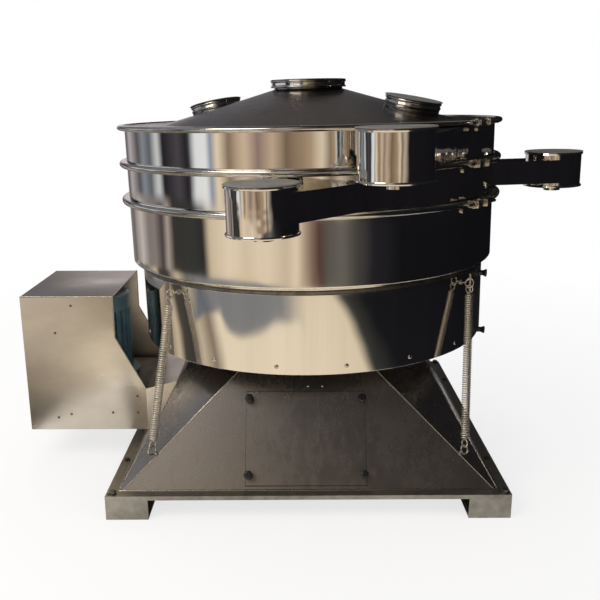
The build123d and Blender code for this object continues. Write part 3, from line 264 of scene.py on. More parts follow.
def dress(material, *names):
    """Gives CAD nodes their finish."""
    for name in names:
        nodes[name].data.materials.clear()
        nodes[name].data.materials.append(material)


mill_plate = steel("mill finish stainless plate", "#A9A59C", "#837F78", 0.42, (1, 0.12, 1), 30.0, 0.00006)
dress(mill_plate, "base_plate", "base_feet")


# Bolts of the whole machine: heads turned or forged once and set by the row. Each row is one mesh.
def lathe(name, profile, steps=48, matrix=Matrix.Identity(4), start=0.0, sweep=2 * math.pi):
    """Turns a closed outline of (radius, height) points round the matrix's Z axis."""
    whole = abs(sweep - 2 * math.pi) < 1e-6
    made = bmesh.new()
    rows = []
    for i in range(steps if whole else steps + 1):
        a = start + sweep * i / steps
        rows.append([made.verts.new((r * math.cos(a), r * math.sin(a), h)) for r, h in profile])
    count = len(profile)
    for i in range(steps):
        row, other = rows[i], rows[(i + 1) % len(rows)]
        for k in range(count):
            made.faces.new((row[k], other[k], other[(k + 1) % count], row[(k + 1) % count]))
    if not whole:
        made.faces.new(rows[0])
        made.faces.new(reversed(rows[-1]))
    bmesh.ops.remove_doubles(made, verts=made.verts, dist=1e-6)
    bmesh.ops.dissolve_degenerate(made, edges=made.edges, dist=1e-7)
    bmesh.ops.recalc_face_normals(made, faces=made.faces)
    made.transform(matrix)
    mesh = bpy.data.meshes.new(name)
    made.to_mesh(mesh)
    made.free()
    return mesh


def eased(outline, radius, steps=3):
    """Closed outline whose corners are rounded."""
    made = []
    count = len(outline)
    for i, (x, y) in enumerate(outline):
        corner = Vector((x, y))
        before = Vector(outline[i - 1]) - corner
        after = Vector(outline[(i + 1) % count]) - corner
        reach = min(radius, before.length * 0.45, after.length * 0.45)
        if reach < 1e-6:
            made.append((x, y))
            continue
        first = corner + before.normalized() * reach
        last = corner + after.normalized() * reach
        bend = [first * (1 - t) ** 2 + corner * 2 * t * (1 - t) + last * t ** 2
                for t in [k / steps for k in range(steps + 1)]]
        # The extra point at each end keeps the long faces beside the corner flat in the light.
        bend = [corner + before.normalized() * reach * 1.1] + bend + [corner + after.normalized() * reach * 1.1]
        made += [(point.x, point.y) for point in bend]
    return made


def hand_over(name, mesh, material, body, angle=32, replaces=()):
    """Finishes a piece: smooth shading up to an angle, its material and its body."""
    mesh.materials.clear()
    mesh.materials.append(material)
    mesh.shade_smooth()
    mesh.set_sharp_from_angle(angle=math.radians(angle))
    made = link(name, mesh)
    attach(made, body)
    if replaces:
        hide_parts(*replaces)
    return made


def fastener_tree():
    """Sets one head on every point, aimed along the point's own direction and turned at random."""
    tree = bpy.data.node_groups.new("fastener row", "GeometryNodeTree")
    for label, kind in (("Geometry", "NodeSocketGeometry"), ("Head", "NodeSocketObject"),
                        ("Material", "NodeSocketMaterial"), ("Seed", "NodeSocketInt")):
        tree.interface.new_socket(label, in_out="INPUT", socket_type=kind)
    tree.interface.new_socket("Geometry", in_out="OUTPUT", socket_type="NodeSocketGeometry")
    given = add(tree, "NodeGroupInput").outputs
    head = add(tree, "GeometryNodeObjectInfo", {"Object": given["Head"]}).outputs["Geometry"]
    aim = add(tree, "GeometryNodeInputNamedAttribute", {"Name": "aim"}, data_type="FLOAT_VECTOR").outputs["Attribute"]
    turn = add(tree, "FunctionNodeAlignRotationToVector", {"Vector": aim}, axis="Z").outputs[0]
    spin = add(tree, "FunctionNodeRandomValue", {"Seed": given["Seed"], 2: 0.0, 3: 6.28}, data_type="FLOAT").outputs[1]
    about = add(tree, "FunctionNodeAxisAngleToRotation", {"Axis": (0, 0, 1), "Angle": spin}).outputs[0]
    both = add(tree, "FunctionNodeRotateRotation", {0: turn, 1: about}, rotation_space="LOCAL").outputs[0]
    placed = add(tree, "GeometryNodeInstanceOnPoints", {"Points": given["Geometry"], "Instance": head,
                                                        "Rotation": both}).outputs[0]
    real = add(tree, "GeometryNodeRealizeInstances", {0: placed}).outputs[0]
    done = add(tree, "GeometryNodeSetMaterial", {"Geometry": real, "Material": given["Material"]}).outputs[0]
    add(tree, "NodeGroupOutput", {0: done})
    return tree


fastener_row = fastener_tree()


def fasten(name, head, spots, material, body, seed=1, replaces=()):
    """Sets a head on each (place, direction) and hands the row over as one plain mesh."""
    mesh = bpy.data.meshes.new(name + " spots")
    mesh.from_pydata([tuple(place) for place, aim in spots], [], [])
    aims = mesh.attributes.new("aim", "FLOAT_VECTOR", "POINT")
    aims.data.foreach_set("vector", [c for place, aim in spots for c in Vector(aim).normalized()])
    row = link(name + " spots", mesh)
    pattern = link(name + " head", head)
    change = row.modifiers.new("row", "NODES")
    change.node_group = fastener_row
    sockets = {item.name: item.identifier for item in fastener_row.interface.items_tree if item.in_out == "INPUT"}
    change[sockets["Head"]] = pattern
    change[sockets["Material"]] = material
    change[sockets["Seed"]] = seed
    bpy.context.view_layer.update()
    result = bpy.data.meshes.new_from_object(row.evaluated_get(bpy.context.evaluated_depsgraph_get()))
    result.name = name
    bpy.data.objects.remove(row)
    bpy.data.objects.remove(pattern)
    return hand_over(name, result, material, body, replaces=replaces)


def hex_head(across, height, washer=0.0, dome=0.25):
    """Forged hexagon head on its washer, its top corners turned off."""
    made = bmesh.new()
    radius = across / math.sqrt(3)
    rim = [(radius, 0), (radius, height * (1 - dome)), (across / 2 * 0.93, height), (0.0001, height)]
    rows = [[made.verts.new((r * math.cos(i * math.pi / 3), r * math.sin(i * math.pi / 3), washer + h))
             for i in range(6)] for r, h in rim]
    for low, high in zip(rows, rows[1:]):
        for i in range(6):
            made.faces.new((low[i], low[(i + 1) % 6], high[(i + 1) % 6], high[i]))
    made.faces.new(reversed(rows[0]))
    made.faces.new(rows[-1])
    if washer:
        disc = bmesh.ops.create_cone(made, cap_ends=True, segments=24, radius1=radius * 1.25, radius2=radius * 1.2,
                                     depth=washer)
        bmesh.ops.translate(made, verts=disc["verts"], vec=(0, 0, washer / 2))
    mesh = bpy.data.meshes.new("hex head")
    made.to_mesh(mesh)
    made.free()
    return mesh


def dome_head(radius, height, slot_width=0.0):
    """Low round head, like an acorn nut or a pan screw."""
    steps = 6
    outline = [(0.0, 0.0), (radius, 0.0), (radius, height * 0.25)]
    outline += [(radius * math.cos(math.pi / 2 * k / steps), height * (0.25 + 0.75 * math.sin(math.pi / 2 * k / steps)))
                for k in range(1, steps)]
    outline.append((0.0, height))
    return lathe("dome head", outline, 20)


zinc_bolt = steel("zinc plated steel bolt", "#8E8B84", "#4D4A46", 0.38, streak=60.0)
bright_bolt = steel("bright drawn stainless bolt", "#D9D6CE", "#A6A29A", 0.2, streak=60.0)
plate_top = 0.075
anchor = 0.576
fasten("anchor_bolts", hex_head(0.019, 0.0085, 0.002),
       [((x * anchor, y * anchor, plate_top), (0, 0, 1)) for x in (-1, 1) for y in (-1, 1)], zinc_bolt, "base",
       3)
fasten("frame_bolts", hex_head(0.013, 0.006, 0.0015),
       [((x * anchor, y, plate_top), (0, 0, 1)) for x in (-1, 1) for y in (-0.36, 0.0, 0.36)], zinc_bolt, "base",
       4)

# Pedestal: stainless sheet folded to a square frustum with cut corners, satin ground after welding.
# The grinding leaves fine streaks down the slopes. The bright line on every fold is a painted highlight, drawn as a
# thin bead of lighter steel.
satin_sheet = steel("satin ground stainless sheet", "#B8B1A9", "#9B948D", 0.27, (1.0, 1.0, 0.06), 46.0, 0.00004)
dress(satin_sheet, "pedestal_shell")
# Seam beads: real weld seams, whose lighter colour is also a painted highlight along the folds and edges.
seam_and_highlight_steel = steel("ground weld seam", "#D8D3C9", "#AAA59C", 0.25, streak=120.0, bump=0.0001)
half_foot = 0.559
lean = 0.6
facet_foot = 1.108
facet_lean = 1.693
pedestal_top = 0.430


def seam(name, runs, radius, material, body, sides=8):
    """Half-sunk bead along straight or bent runs of points."""
    made = bmesh.new()
    for run in runs:
        run = [Vector(p) for p in run]
        rows = []
        for i, point in enumerate(run):
            along = (run[min(i + 1, len(run) - 1)] - run[max(i - 1, 0)]).normalized()
            side = along.cross(Vector((0.31, 0.17, 0.93))).normalized()
            other = along.cross(side)
            rows.append([made.verts.new(point + radius * (side * math.cos(2 * math.pi * k / sides)
                                                          + other * math.sin(2 * math.pi * k / sides)))
                         for k in range(sides)])
        for low, high in zip(rows, rows[1:]):
            for k in range(sides):
                made.faces.new((low[k], low[(k + 1) % sides], high[(k + 1) % sides], high[k]))
        made.faces.new(rows[0])
        made.faces.new(rows[-1])
    bmesh.ops.recalc_face_normals(made, faces=made.faces)
    mesh = bpy.data.meshes.new(name)
    made.to_mesh(mesh)
    made.free()
    return hand_over(name, mesh, material, body, 60)


def pedestal_edge(height):
    """Half width of the pedestal at a height, and how far along a side its corner cut starts."""
    half = half_foot - lean * (height - plate_top)
    return half, facet_foot - facet_lean * (height - plate_top) - half


folds = []
for x_side in (-1, 1):
    for y_side in (-1, 1):
        low, low_cut = pedestal_edge(plate_top)
        high, high_cut = pedestal_edge(pedestal_top)
        folds.append([(x_side * low, y_side * low_cut, plate_top), (x_side * high, y_side * high_cut, pedestal_top)])
        folds.append([(x_side * low_cut, y_side * low, plate_top), (x_side * high_cut, y_side * high, pedestal_top)])
seam("pedestal_folds", folds, 0.0016, seam_and_highlight_steel, "base")
foot_run = half_foot + 0.0015
seam("pedestal_foot_weld", [[(-foot_run, -foot_run, plate_top), (foot_run, -foot_run, plate_top),
                             (foot_run, foot_run, plate_top), (-foot_run, foot_run, plate_top),
                             (-foot_run, -foot_run, plate_top)]], 0.003, seam_and_highlight_steel, "base")

# Access door: a flat lapped panel, drawn down by four moulded phenolic knobs on its studs, with two
# small screws beside it. The knobs are black with a soft gloss.
slope = math.atan(lean)
face_out = Vector((0, -math.cos(slope), math.sin(slope)))
face_up = Vector((0, math.sin(slope), math.cos(slope)))


def on_front(x, along, out=0.0):
    """Point on the pedestal's front face: x, the distance up the slope, and out from it."""
    return Vector((x, -half_foot, plate_top)) + face_up * along + face_out * out


def moulded(name, colour, roughness, grain=900.0, coat=0.0):
    """Moulded plastic or rubber: one colour with a fine skin texture."""
    made = bpy.data.materials.new(name)
    made.use_nodes = True
    tree = made.node_tree
    tree.nodes.clear()
    place = add(tree, "ShaderNodeTexCoord").outputs["Object"]
    skin = add(tree, "ShaderNodeTexNoise", {"Vector": place, "Scale": grain, "Detail": 2.0}).outputs["Fac"]
    wear = add(tree, "ShaderNodeTexNoise", {"Vector": place, "Scale": 35.0, "Detail": 4.0}).outputs["Fac"]
    rough = add(tree, "ShaderNodeMapRange", {"Value": wear, "To Min": roughness * 0.8, "To Max": roughness * 1.2})
    tone = ramp(tree, wear, ((0.3, colour[0]), (0.75, colour[1])))
    relief = add(tree, "ShaderNodeBump", {"Strength": 0.25, "Distance": 0.0002, "Height": skin})
    shader = add(tree, "ShaderNodeBsdfPrincipled", {"Base Color": tone, "Roughness": rough.outputs[0],
                                                    "Normal": relief.outputs[0], "Coat Weight": coat})
    add(tree, "ShaderNodeOutputMaterial", {"Surface": shader.outputs[0]})
    return made


def block(matrix, x, y, z):
    """Box between two values on each axis of the matrix."""
    made = bmesh.new()
    corners = [made.verts.new((x[i], y[j], z[k])) for i in (0, 1) for j in (0, 1) for k in (0, 1)]
    for face in ((0, 1, 3, 2), (4, 6, 7, 5), (0, 4, 5, 1), (2, 3, 7, 6), (0, 2, 6, 4), (1, 5, 7, 3)):
        made.faces.new([corners[i] for i in face])
    bmesh.ops.recalc_face_normals(made, faces=made.faces)
    made.transform(matrix)
    mesh = bpy.data.meshes.new("block")
    made.to_mesh(mesh)
    made.free()
    return mesh


def soften(name, blocks, width, segments=2):
    """Joins blocks to one mesh and rounds their edges."""
    made = bmesh.new()
    for part in blocks:
        made.from_mesh(part)
    bmesh.ops.bevel(made, geom=made.edges, offset=width, segments=segments, affect="EDGES")
    mesh = bpy.data.meshes.new(name)
    made.to_mesh(mesh)
    made.free()
    return mesh


door_left, door_right, door_foot, door_head, door_sheet = -0.187, 0.173, 0.012, 0.293, 0.003
front_frame = Matrix((Vector((1, 0, 0)), face_up, face_out)).transposed().to_4x4()
front_frame.translation = on_front(0, 0)
door_mesh = soften("door_panel", [block(front_frame, (door_left, door_right), (door_foot, door_head), (0, door_sheet))],
                   0.0012)
hand_over("door_panel", door_mesh, satin_sheet, "base", replaces=["access_door"])
# The near-black bead round the door's edge is a real gasket and also a painted shadow in the gap under the door.
door_edge = [on_front(x, along, 0.0006) for x, along in ((door_left, door_foot), (door_right, door_foot),
                                                         (door_right, door_head), (door_left, door_head),
                                                         (door_left, door_foot))]
seam("door_gasket", [door_edge], 0.0014, moulded("sponge rubber gasket", ("#0C0C0D", "#1A1A1A"), 0.7), "base")
phenolic = moulded("black moulded phenolic", ("#0E0E0F", "#1C1B1B"), 0.34, coat=0.3)
door_centre = -0.007
knob_places = [on_front(door_centre + x * 0.171, along, 0.003) for x in (-1, 1) for along in (0.042, 0.269)]


def lobed(name, outline, lobes, depth, steps=72):
    """Hand grip: a turned outline whose rim is drawn in between its lobes."""
    mesh = lathe(name, outline, steps)
    widest = max(r for r, h in outline)
    for v in mesh.vertices:
        r = math.hypot(v.co.x, v.co.y)
        share = (r / widest) ** 4
        pull = 1 - depth * share * (0.5 - 0.5 * math.cos(lobes * math.atan2(v.co.y, v.co.x)))
        v.co.x *= pull
        v.co.y *= pull
    return mesh


knob_outline = eased([(0, 0), (0.0085, 0), (0.0085, 0.009), (0.0135, 0.011), (0.0135, 0.025), (0.009, 0.029),
                      (0, 0.029)], 0.002)
fasten("door_grips", lobed("grip", knob_outline, 6, 0.12), [(p, face_out) for p in knob_places], phenolic, "base",
       5, replaces=["door_knobs"])
fasten("door_stay_screws", dome_head(0.004, 0.003), [(on_front(0.001, 0.31), face_out), (on_front(0.045, 0.31), face_out)],
       bright_bolt, "base", 6)

# Drive under the drum: cast housings and pulleys, ground shafts, plated bolts and rubber belts.
# Cast iron shows a fine sand skin and ground steel a tight bright surface.
cast_iron = steel("sand cast iron, oiled", "#5A5C5E", "#3A3B3D", 0.55, streak=140.0, bump=0.0004, metallic=0.85)
ground_steel = steel("ground shaft steel", "#B9B7B2", "#8C8A86", 0.28, (1, 1, 8), 60.0)
belt_rubber = moulded("V-belt rubber", ("#0B0B0C", "#191918"), 0.7, 400.0)
seal_rubber = moulded("moulded seal rubber", ("#131314", "#242323"), 0.6, 300.0)
dress(cast_iron, "bearing_housing", "large_pulley", "small_pulley", "hub_housing", "crank", "counterweight")
dress(ground_steel, "main_shaft", "motor_shaft", "main_bearings", "hub_bearings", "journal_washer")
dress(steel("hot rolled stainless plate", "#97938C", "#6F6B66", 0.45, (1, 0.2, 1), 25.0), "pedestal_top_plate",
      "motor_plate", "support_frame")
dress(zinc_bolt, "housing_bolts")
dress(belt_rubber, "v_belts")
dress(seal_rubber, "frame_seals", "screen_balls")

# Motor: die-cast finned frame, sheet fan cover and terminal box, sprayed in blue machine enamel that
# has gathered some dust on its upper faces.
enamel = bpy.data.materials.new("sprayed machine enamel")
enamel.use_nodes = True
tree = enamel.node_tree
tree.nodes.clear()
place = add(tree, "ShaderNodeTexCoord").outputs["Object"]
facing = add(tree, "ShaderNodeSeparateXYZ", {0: add(tree, "ShaderNodeNewGeometry").outputs["Normal"]}).outputs["Z"]
dust = add(tree, "ShaderNodeTexNoise", {"Vector": place, "Scale": 22.0, "Detail": 5.0}).outputs["Fac"]
lying = add(tree, "ShaderNodeMath", {0: facing, 1: dust}, operation="MULTIPLY", use_clamp=True).outputs[0]
paint = ramp(tree, dust, ((0.3, "#456673"), (0.7, "#64858F")))
dusty = add(tree, "ShaderNodeMix", {0: lying, 6: paint, 7: linear("#8C9391")}, data_type="RGBA").outputs[2]
skin = add(tree, "ShaderNodeTexNoise", {"Vector": place, "Scale": 420.0, "Detail": 2.0}).outputs["Fac"]
relief = add(tree, "ShaderNodeBump", {"Strength": 0.3, "Distance": 0.0002, "Height": skin})
shader = add(tree, "ShaderNodeBsdfPrincipled", {"Base Color": dusty, "Roughness": 0.38, "Normal": relief.outputs[0],
                                                "Coat Weight": 0.35, "Coat Roughness": 0.2})
add(tree, "ShaderNodeOutputMaterial", {"Surface": shader.outputs[0]})
dress(enamel, "motor_body", "fan_cover", "terminal_box")


# Motor guard and belt tunnel: thin stainless sheet, folded and spot welded, with the rolling grain
# left on it. Round screws hold the side sheets and a name plate's place is bare.
def folded(name, polygons, thickness, fold, material, body, replaces=(), inward=-1):
    """Sheet metal from flat polygons that share edges: gets its wall and its rounded folds."""
    made = bmesh.new()
    for polygon in polygons:
        made.faces.new([made.verts.new(p) for p in polygon])
    bmesh.ops.remove_doubles(made, verts=made.verts, dist=1e-5)
    bmesh.ops.recalc_face_normals(made, faces=made.faces)
    mesh = bpy.data.meshes.new(name)
    made.to_mesh(mesh)
    made.free()
    rough = link(name + " sheet", mesh)
    wall = rough.modifiers.new("wall", "SOLIDIFY")
    wall.thickness = thickness
    wall.offset = inward
    wall.use_even_offset = True
    round_off = rough.modifiers.new("folds", "BEVEL")
    round_off.width = fold
    round_off.segments = 2
    round_off.limit_method = "ANGLE"
    bpy.context.view_layer.update()
    result = bpy.data.meshes.new_from_object(rough.evaluated_get(bpy.context.evaluated_depsgraph_get()))
    result.name = name
    bpy.data.objects.remove(rough)
    return hand_over(name, result, material, body, replaces=replaces)


guard_sheet = steel("cold rolled stainless sheet", "#E4DED4", "#C9C1B6", 0.32, (0.35, 1.0, 0.9), 7.0, 0.00008)
guard_left, guard_right, guard_foot = -0.932, -0.631, -0.538
guard_low, guard_high, guard_corner, guard_step = 0.111, 0.575, 0.438, 0.257
guard_y = 0.200
guard_side = [(guard_left, guard_low), (guard_foot, guard_low), (guard_foot, guard_step), (guard_right, guard_corner),
              (guard_right, guard_high), (guard_left, guard_high)]
guard_faces = [[(x, y, z) for x, z in guard_side] for y in (-guard_y, guard_y)]
for (x0, z0), (x1, z1) in ((guard_side[0], guard_side[1]), (guard_side[4], guard_side[5]),
                           (guard_side[5], guard_side[0])):
    guard_faces.append([(x0, -guard_y, z0), (x1, -guard_y, z1), (x1, guard_y, z1), (x0, guard_y, z0)])
folded("guard_sheets", guard_faces, 0.003, 0.0018, guard_sheet, "base", ["motor_guard"])
dress(guard_sheet, "belt_tunnel")
guard_screws = ((-0.768, 0.545), (-0.826, 0.453), (-0.837, 0.155), (-0.793, 0.167), (-0.653, 0.172), (-0.569, 0.172),
                (-0.568, 0.231))
fasten("guard_screws", dome_head(0.0042, 0.0026), [((x, -guard_y, z), (0, -1, 0)) for x, z in guard_screws], zinc_bolt,
       "base", 7)
# Hems: beads of the lighter seam steel on the guard's top and slanted edges, a painted highlight on its folds.
hems = [[(guard_left + 0.002, -guard_y, guard_high), (guard_right, -guard_y, guard_high)],
        [(guard_right, -guard_y, guard_high), (guard_right, guard_y, guard_high)]]
hems += [[(guard_right, y, guard_high), (guard_right, y, guard_corner), (guard_foot, y, guard_step)]
         for y in (-guard_y, guard_y)]
seam("guard_hems", hems, 0.0022, seam_and_highlight_steel, "base")

# Drum shells: polished stainless sheet rolled to a cylinder and welded. The mirror finish is wavy
# from rolling, so what it shows is drawn out into upright streaks; a faint haze of fine scratches.
tilt = math.radians(1.2)
drum_up = Vector((-math.sin(tilt), 0, math.cos(tilt)))
drum_right = Vector((math.cos(tilt), 0, math.sin(tilt)))
drum_origin = Vector((0.024, 0, 0.439))
drum = Matrix((drum_right, Vector((0, 1, 0)), drum_up)).transposed().to_4x4()
drum.translation = drum_origin


def drum_across(turn):
    """Direction square to the drum's axis."""
    return drum_right * math.cos(math.radians(turn)) + Vector((0, math.sin(math.radians(turn)), 0))


def drum_point(reach, turn, height):
    """Point given by its reach from the drum's axis, its turn and its height above the skirt's foot."""
    return drum_origin + drum_up * height + drum_across(turn) * reach


def mirror_steel(name, centre, light, dark, roughness, wave):
    """Polished rolled sheet: waves and tone run round an upright axis through the centre."""
    made = bpy.data.materials.new(name)
    made.use_nodes = True
    tree = made.node_tree
    tree.nodes.clear()
    place = add(tree, "ShaderNodeTexCoord").outputs["Object"]
    own = add(tree, "ShaderNodeMapping", {"Vector": place, "Location": tuple(-Vector(centre))}).outputs[0]
    upright = add(tree, "ShaderNodeMapping", {"Vector": own, "Scale": (1.0, 1.0, 0.16)}).outputs[0]
    roll = add(tree, "ShaderNodeTexNoise", {"Vector": upright, "Scale": wave, "Detail": 1.5, "Roughness": 0.4})
    dent = add(tree, "ShaderNodeTexNoise", {"Vector": own, "Scale": wave * 0.6, "Detail": 1.0})
    streaks = add(tree, "ShaderNodeMapping", {"Vector": own, "Scale": (1.0, 1.0, 0.03)}).outputs[0]
    haze = add(tree, "ShaderNodeTexNoise", {"Vector": streaks, "Scale": 26.0, "Detail": 4.0}).outputs["Fac"]
    colour = ramp(tree, haze, ((0.3, dark), (0.7, light)))
    rough = add(tree, "ShaderNodeMapRange", {"Value": haze, "From Min": 0.35, "From Max": 0.75,
                                             "To Min": roughness * 0.85, "To Max": roughness * 1.3}).outputs[0]
    height = add(tree, "ShaderNodeMath", {0: roll.outputs["Fac"], 1: dent.outputs["Fac"]}, operation="ADD")
    relief = add(tree, "ShaderNodeBump", {"Strength": 1.0, "Distance": 0.0011, "Height": height.outputs[0]})
    shader = add(tree, "ShaderNodeBsdfPrincipled", {"Base Color": colour, "Roughness": rough, "Metallic": 1.0,
                                                    "Normal": relief.outputs[0]})
    add(tree, "ShaderNodeOutputMaterial", {"Surface": shader.outputs[0]})
    return made


shell_mirror = mirror_steel("mirror polished stainless shell", (0.01, 0, 0.8), "#EEEAE3", "#E6E1D9", 0.055, 9.0)


def band(*pairs):
    """Outline from millimetre pairs, as metres."""
    return [(r / 1000, h / 1000) for r, h in pairs]


def cut_away(mesh, cutter):
    """Takes the cutter's volume out of a mesh."""
    whole, tool = link("whole", mesh), link("tool", cutter)
    change = whole.modifiers.new("cut", "BOOLEAN")
    change.operation = "DIFFERENCE"
    change.solver = "EXACT"
    change.object = tool
    bpy.context.view_layer.update()
    result = bpy.data.meshes.new_from_object(whole.evaluated_get(bpy.context.evaluated_depsgraph_get()))
    result.name = mesh.name
    bpy.data.objects.remove(whole)
    bpy.data.objects.remove(tool)
    return result


pots = {"front_pot": (161.4, -99.9, 434, 124, 45, -1, 466), "upper_pot": (254.8, -77.64, 563, 124, 69, -1, 598),
        "side_pot": (224.1, 0.765, 452, 114, 185, 1, 469)}
pot_radius, pot_sheet = 0.090, 0.002
chute_width, chute_height, chute_reach = 0.126, 0.075, 0.600


def pot_place(name, level):
    """Point on a pot's axis at a level over the skirt's foot, in millimetres."""
    return drum_point(0.600 + pots[name][0] / 1000, pots[name][1], level / 1000)


def chute_frame(name):
    """Matrix of a chute: X runs to the drum, Y across, Z up from its floor; and its sides on Y."""
    turn, side, low = pots[name][4:]
    along = drum_across(turn)
    made = Matrix((along, drum_up.cross(along), drum_up)).transposed().to_4x4()
    made.translation = pot_place(name, low)
    middle = side * (pot_radius - chute_width / 2)
    return made, middle - chute_width / 2, middle + chute_width / 2


def chute_bore(name):
    """Block the size of a chute's inside."""
    made, low_side, high_side = chute_frame(name)
    return block(made, (0, chute_reach), (low_side + pot_sheet, high_side - pot_sheet),
                 (pot_sheet, chute_height - pot_sheet))


shell_steps = 256
skirt_mesh = lathe("skirt_shell", eased(band((565, 0), (571, 0), (571, 232), (568, 232), (568, 40), (565, 40)), 0.0008, 2),
                   shell_steps, drum)
hatch_frame = Matrix((drum_across(-22), drum_up.cross(drum_across(-22)), drum_up)).transposed().to_4x4()
hatch_frame.translation = drum_origin
skirt_mesh = cut_away(skirt_mesh, block(hatch_frame, (0.55, 0.60), (-0.087, 0.087), (0.040, 0.181)))
hand_over("skirt_shell", skirt_mesh, shell_mirror, "drum", replaces=["skirt"])
lower_mesh = lathe("lower_shell", eased(band((568, 240), (571, 240), (600, 258), (600, 449), (617, 449), (617, 452),
                                             (597, 452), (597, 261), (568, 243)), 0.003, 3), shell_steps, drum)
hand_over("lower_shell", lower_mesh, shell_mirror, "drum", replaces=["lower_frame"])
for node, name, low, high, chutes in (("middle_frame", "middle_shell", 458, 566, ("front_pot", "side_pot")),
                                      ("top_frame", "top_shell", 572, 679.5, ("upper_pot",))):
    mesh = lathe(name, eased(band((597, low), (617, low), (617, low + 3), (600, low + 3), (600, high - 3),
                                  (617, high - 3), (617, high), (597, high)), 0.0008, 2), shell_steps, drum)
    for chute in chutes:
        mesh = cut_away(mesh, chute_bore(chute))
    hand_over(name, mesh, shell_mirror, "drum", replaces=[node])

# Skirt screws: stainless pan heads, eighteen to the turn, left out where the hand hatch lies.
screw_turns = [-1.6 + 20 * i for i in range(18) if abs(-1.6 + 20 * i - 360 + 22) > 10]
fasten("skirt_screw_heads", dome_head(0.0062, 0.0032),
       [(drum_point(0.571, a, 0.024), drum_across(a)) for a in screw_turns], bright_bolt, "drum", 8,
       replaces=["skirt_screws"])

# Inside of the drum: woven screen cloth stretched on its ring, a perforated tray with rubber balls
# below it, and the domed pan that sends the fines outwards.
weave = bpy.data.materials.new("woven stainless screen cloth")
weave.use_nodes = True
tree = weave.node_tree
tree.nodes.clear()
place = add(tree, "ShaderNodeTexCoord").outputs["Object"]
# Wires 2 mm apart: coarser than the real cloth, so that the weave shows at all.
threads = [add(tree, "ShaderNodeTexWave", {"Vector": place, "Scale": 80.0}, bands_direction=d).outputs["Fac"]
           for d in ("X", "Y")]
crossing = add(tree, "ShaderNodeMath", {0: threads[0], 1: threads[1]}, operation="MAXIMUM").outputs[0]
wire_tone = ramp(tree, crossing, ((0.55, "#55524D"), (0.95, "#C4C0B8")))
relief = add(tree, "ShaderNodeBump", {"Strength": 0.8, "Distance": 0.0005, "Height": crossing})
shader = add(tree, "ShaderNodeBsdfPrincipled", {"Base Color": wire_tone, "Roughness": 0.35, "Metallic": 1.0,
                                                "Normal": relief.outputs[0]})
add(tree, "ShaderNodeOutputMaterial", {"Surface": shader.outputs[0]})
dress(weave, "screen_deck")
dress(steel("punched stainless sheet", "#AEAAA2", "#8A867F", 0.35, streak=24.0), "ball_tray", "fines_pan")
dress(satin_sheet, "side_hatch")

# Cover: one dished cone of sheet with a flat rim and three necks. Its dull dark grey base colour is a painted dark
# reflection laid on satin steel.
cover_satin_dark_reflection = steel("bead blasted stainless cover", "#7A7672", "#6A6662", 0.22, streak=30.0)
dress(cover_satin_dark_reflection, "cover")

# Neck band: a rolled clamp strip with two beads, drawn tight by one screw at the back. Their glints are painted
# reflections of the white stripes on the boards' high band.
band_steel = mirror_steel("rolled band clamp steel", (0.007, 0, 1.24), "#DEDAD3", "#C4BFB7", 0.07, 14.0)
neck_band = eased(band((112.3, 792.5), (123.5, 792.5), (124.2, 795.5), (120.5, 799), (120.5, 807.5), (124.2, 811),
                       (123.5, 814.3), (112.3, 814.3)), 0.0012, 3)
hand_over("neck_clamp_band", lathe("neck_clamp_band", neck_band, 128, drum), band_steel, "drum",
          replaces=["neck_band_clamp"])

# Clamp rings: rolled channel, split at the closure, where two lugs take a T-bolt. Their rounded
# outer edge is polished and carries the brightest line on the drum.
ring_mirror = mirror_steel("polished rolled channel", (0.01, 0, 0.8), "#DEDAD2", "#C2BDB4", 0.12, 12.0)
closure_turn = -42.0
gap_angle = 0.012 / 0.617
closure_frame = Matrix((drum_across(closure_turn), drum_up.cross(drum_across(closure_turn)), drum_up))
closure_frame = closure_frame.transposed().to_4x4()
closure_frame.translation = drum_origin
ring_start = math.radians(closure_turn) + gap_angle / 2
for node, joint, half, grip in (("lower_clamp_ring", 455, 10, 6), ("middle_clamp_ring", 569, 10, 6),
                                ("upper_clamp_ring", 681, 8, 4.5)):
    arc = [math.pi * k / 12 - math.pi / 2 for k in range(13)]
    outline = [(0.603, (joint - half) / 1000)]
    outline += [(0.613 + 0.010 * math.cos(a), (joint + half * math.sin(a)) / 1000) for a in arc]
    outline += band((603, joint + half), (603, joint + grip), (617, joint + grip), (617, joint - grip),
                    (603, joint - grip))
    mesh = lathe(node + "_channel", outline, shell_steps, drum, ring_start, 2 * math.pi - gap_angle)
    hand_over(node + "_channel", mesh, ring_mirror, "drum", replaces=[node])
    lugs = [block(closure_frame, (0.619, 0.653), (side * 0.026 - 0.004, side * 0.026 + 0.004),
                  ((joint - half) / 1000, (joint + half) / 1000)) for side in (-1, 1)]
    hand_over(node + "_lugs", soften(node + "_lugs", lugs, 0.0015), ring_mirror, "drum")

# Closure bolts: a long screw through both lugs of each ring, a bright sleeve between them and a nut
# outside each. The spare thread sticks out to the rear.
thread = [(0.0, -0.058), (0.0046, -0.058)]
for k in range(101):
    thread.append((0.0050 if k % 2 else 0.0044, -0.057 + 0.0015 * k))
thread += [(0.0040, 0.0945), (0.0, 0.0945)]
bolt_way = drum_up.cross(drum_across(closure_turn))
bolt_spots = [(drum_point(0.638, closure_turn, joint / 1000), bolt_way) for joint in (455, 569, 681)]
fasten("closure_screws", lathe("screw", thread, 12), bolt_spots, zinc_bolt, "drum", 13,
       replaces=["closure_bolts"])
sleeve = eased([(0.0052, -0.0215), (0.0085, -0.0215), (0.0085, 0.0215), (0.0052, 0.0215)], 0.001)
fasten("closure_sleeves", lathe("sleeve", sleeve, 24), bolt_spots, bright_bolt, "drum", 14)
fasten("closure_nuts", hex_head(0.0165, 0.008, 0.0015), [(spot + way * side * 0.030, way * side)
                                                         for spot, way in bolt_spots for side in (-1, 1)],
       bright_bolt, "drum", 15)

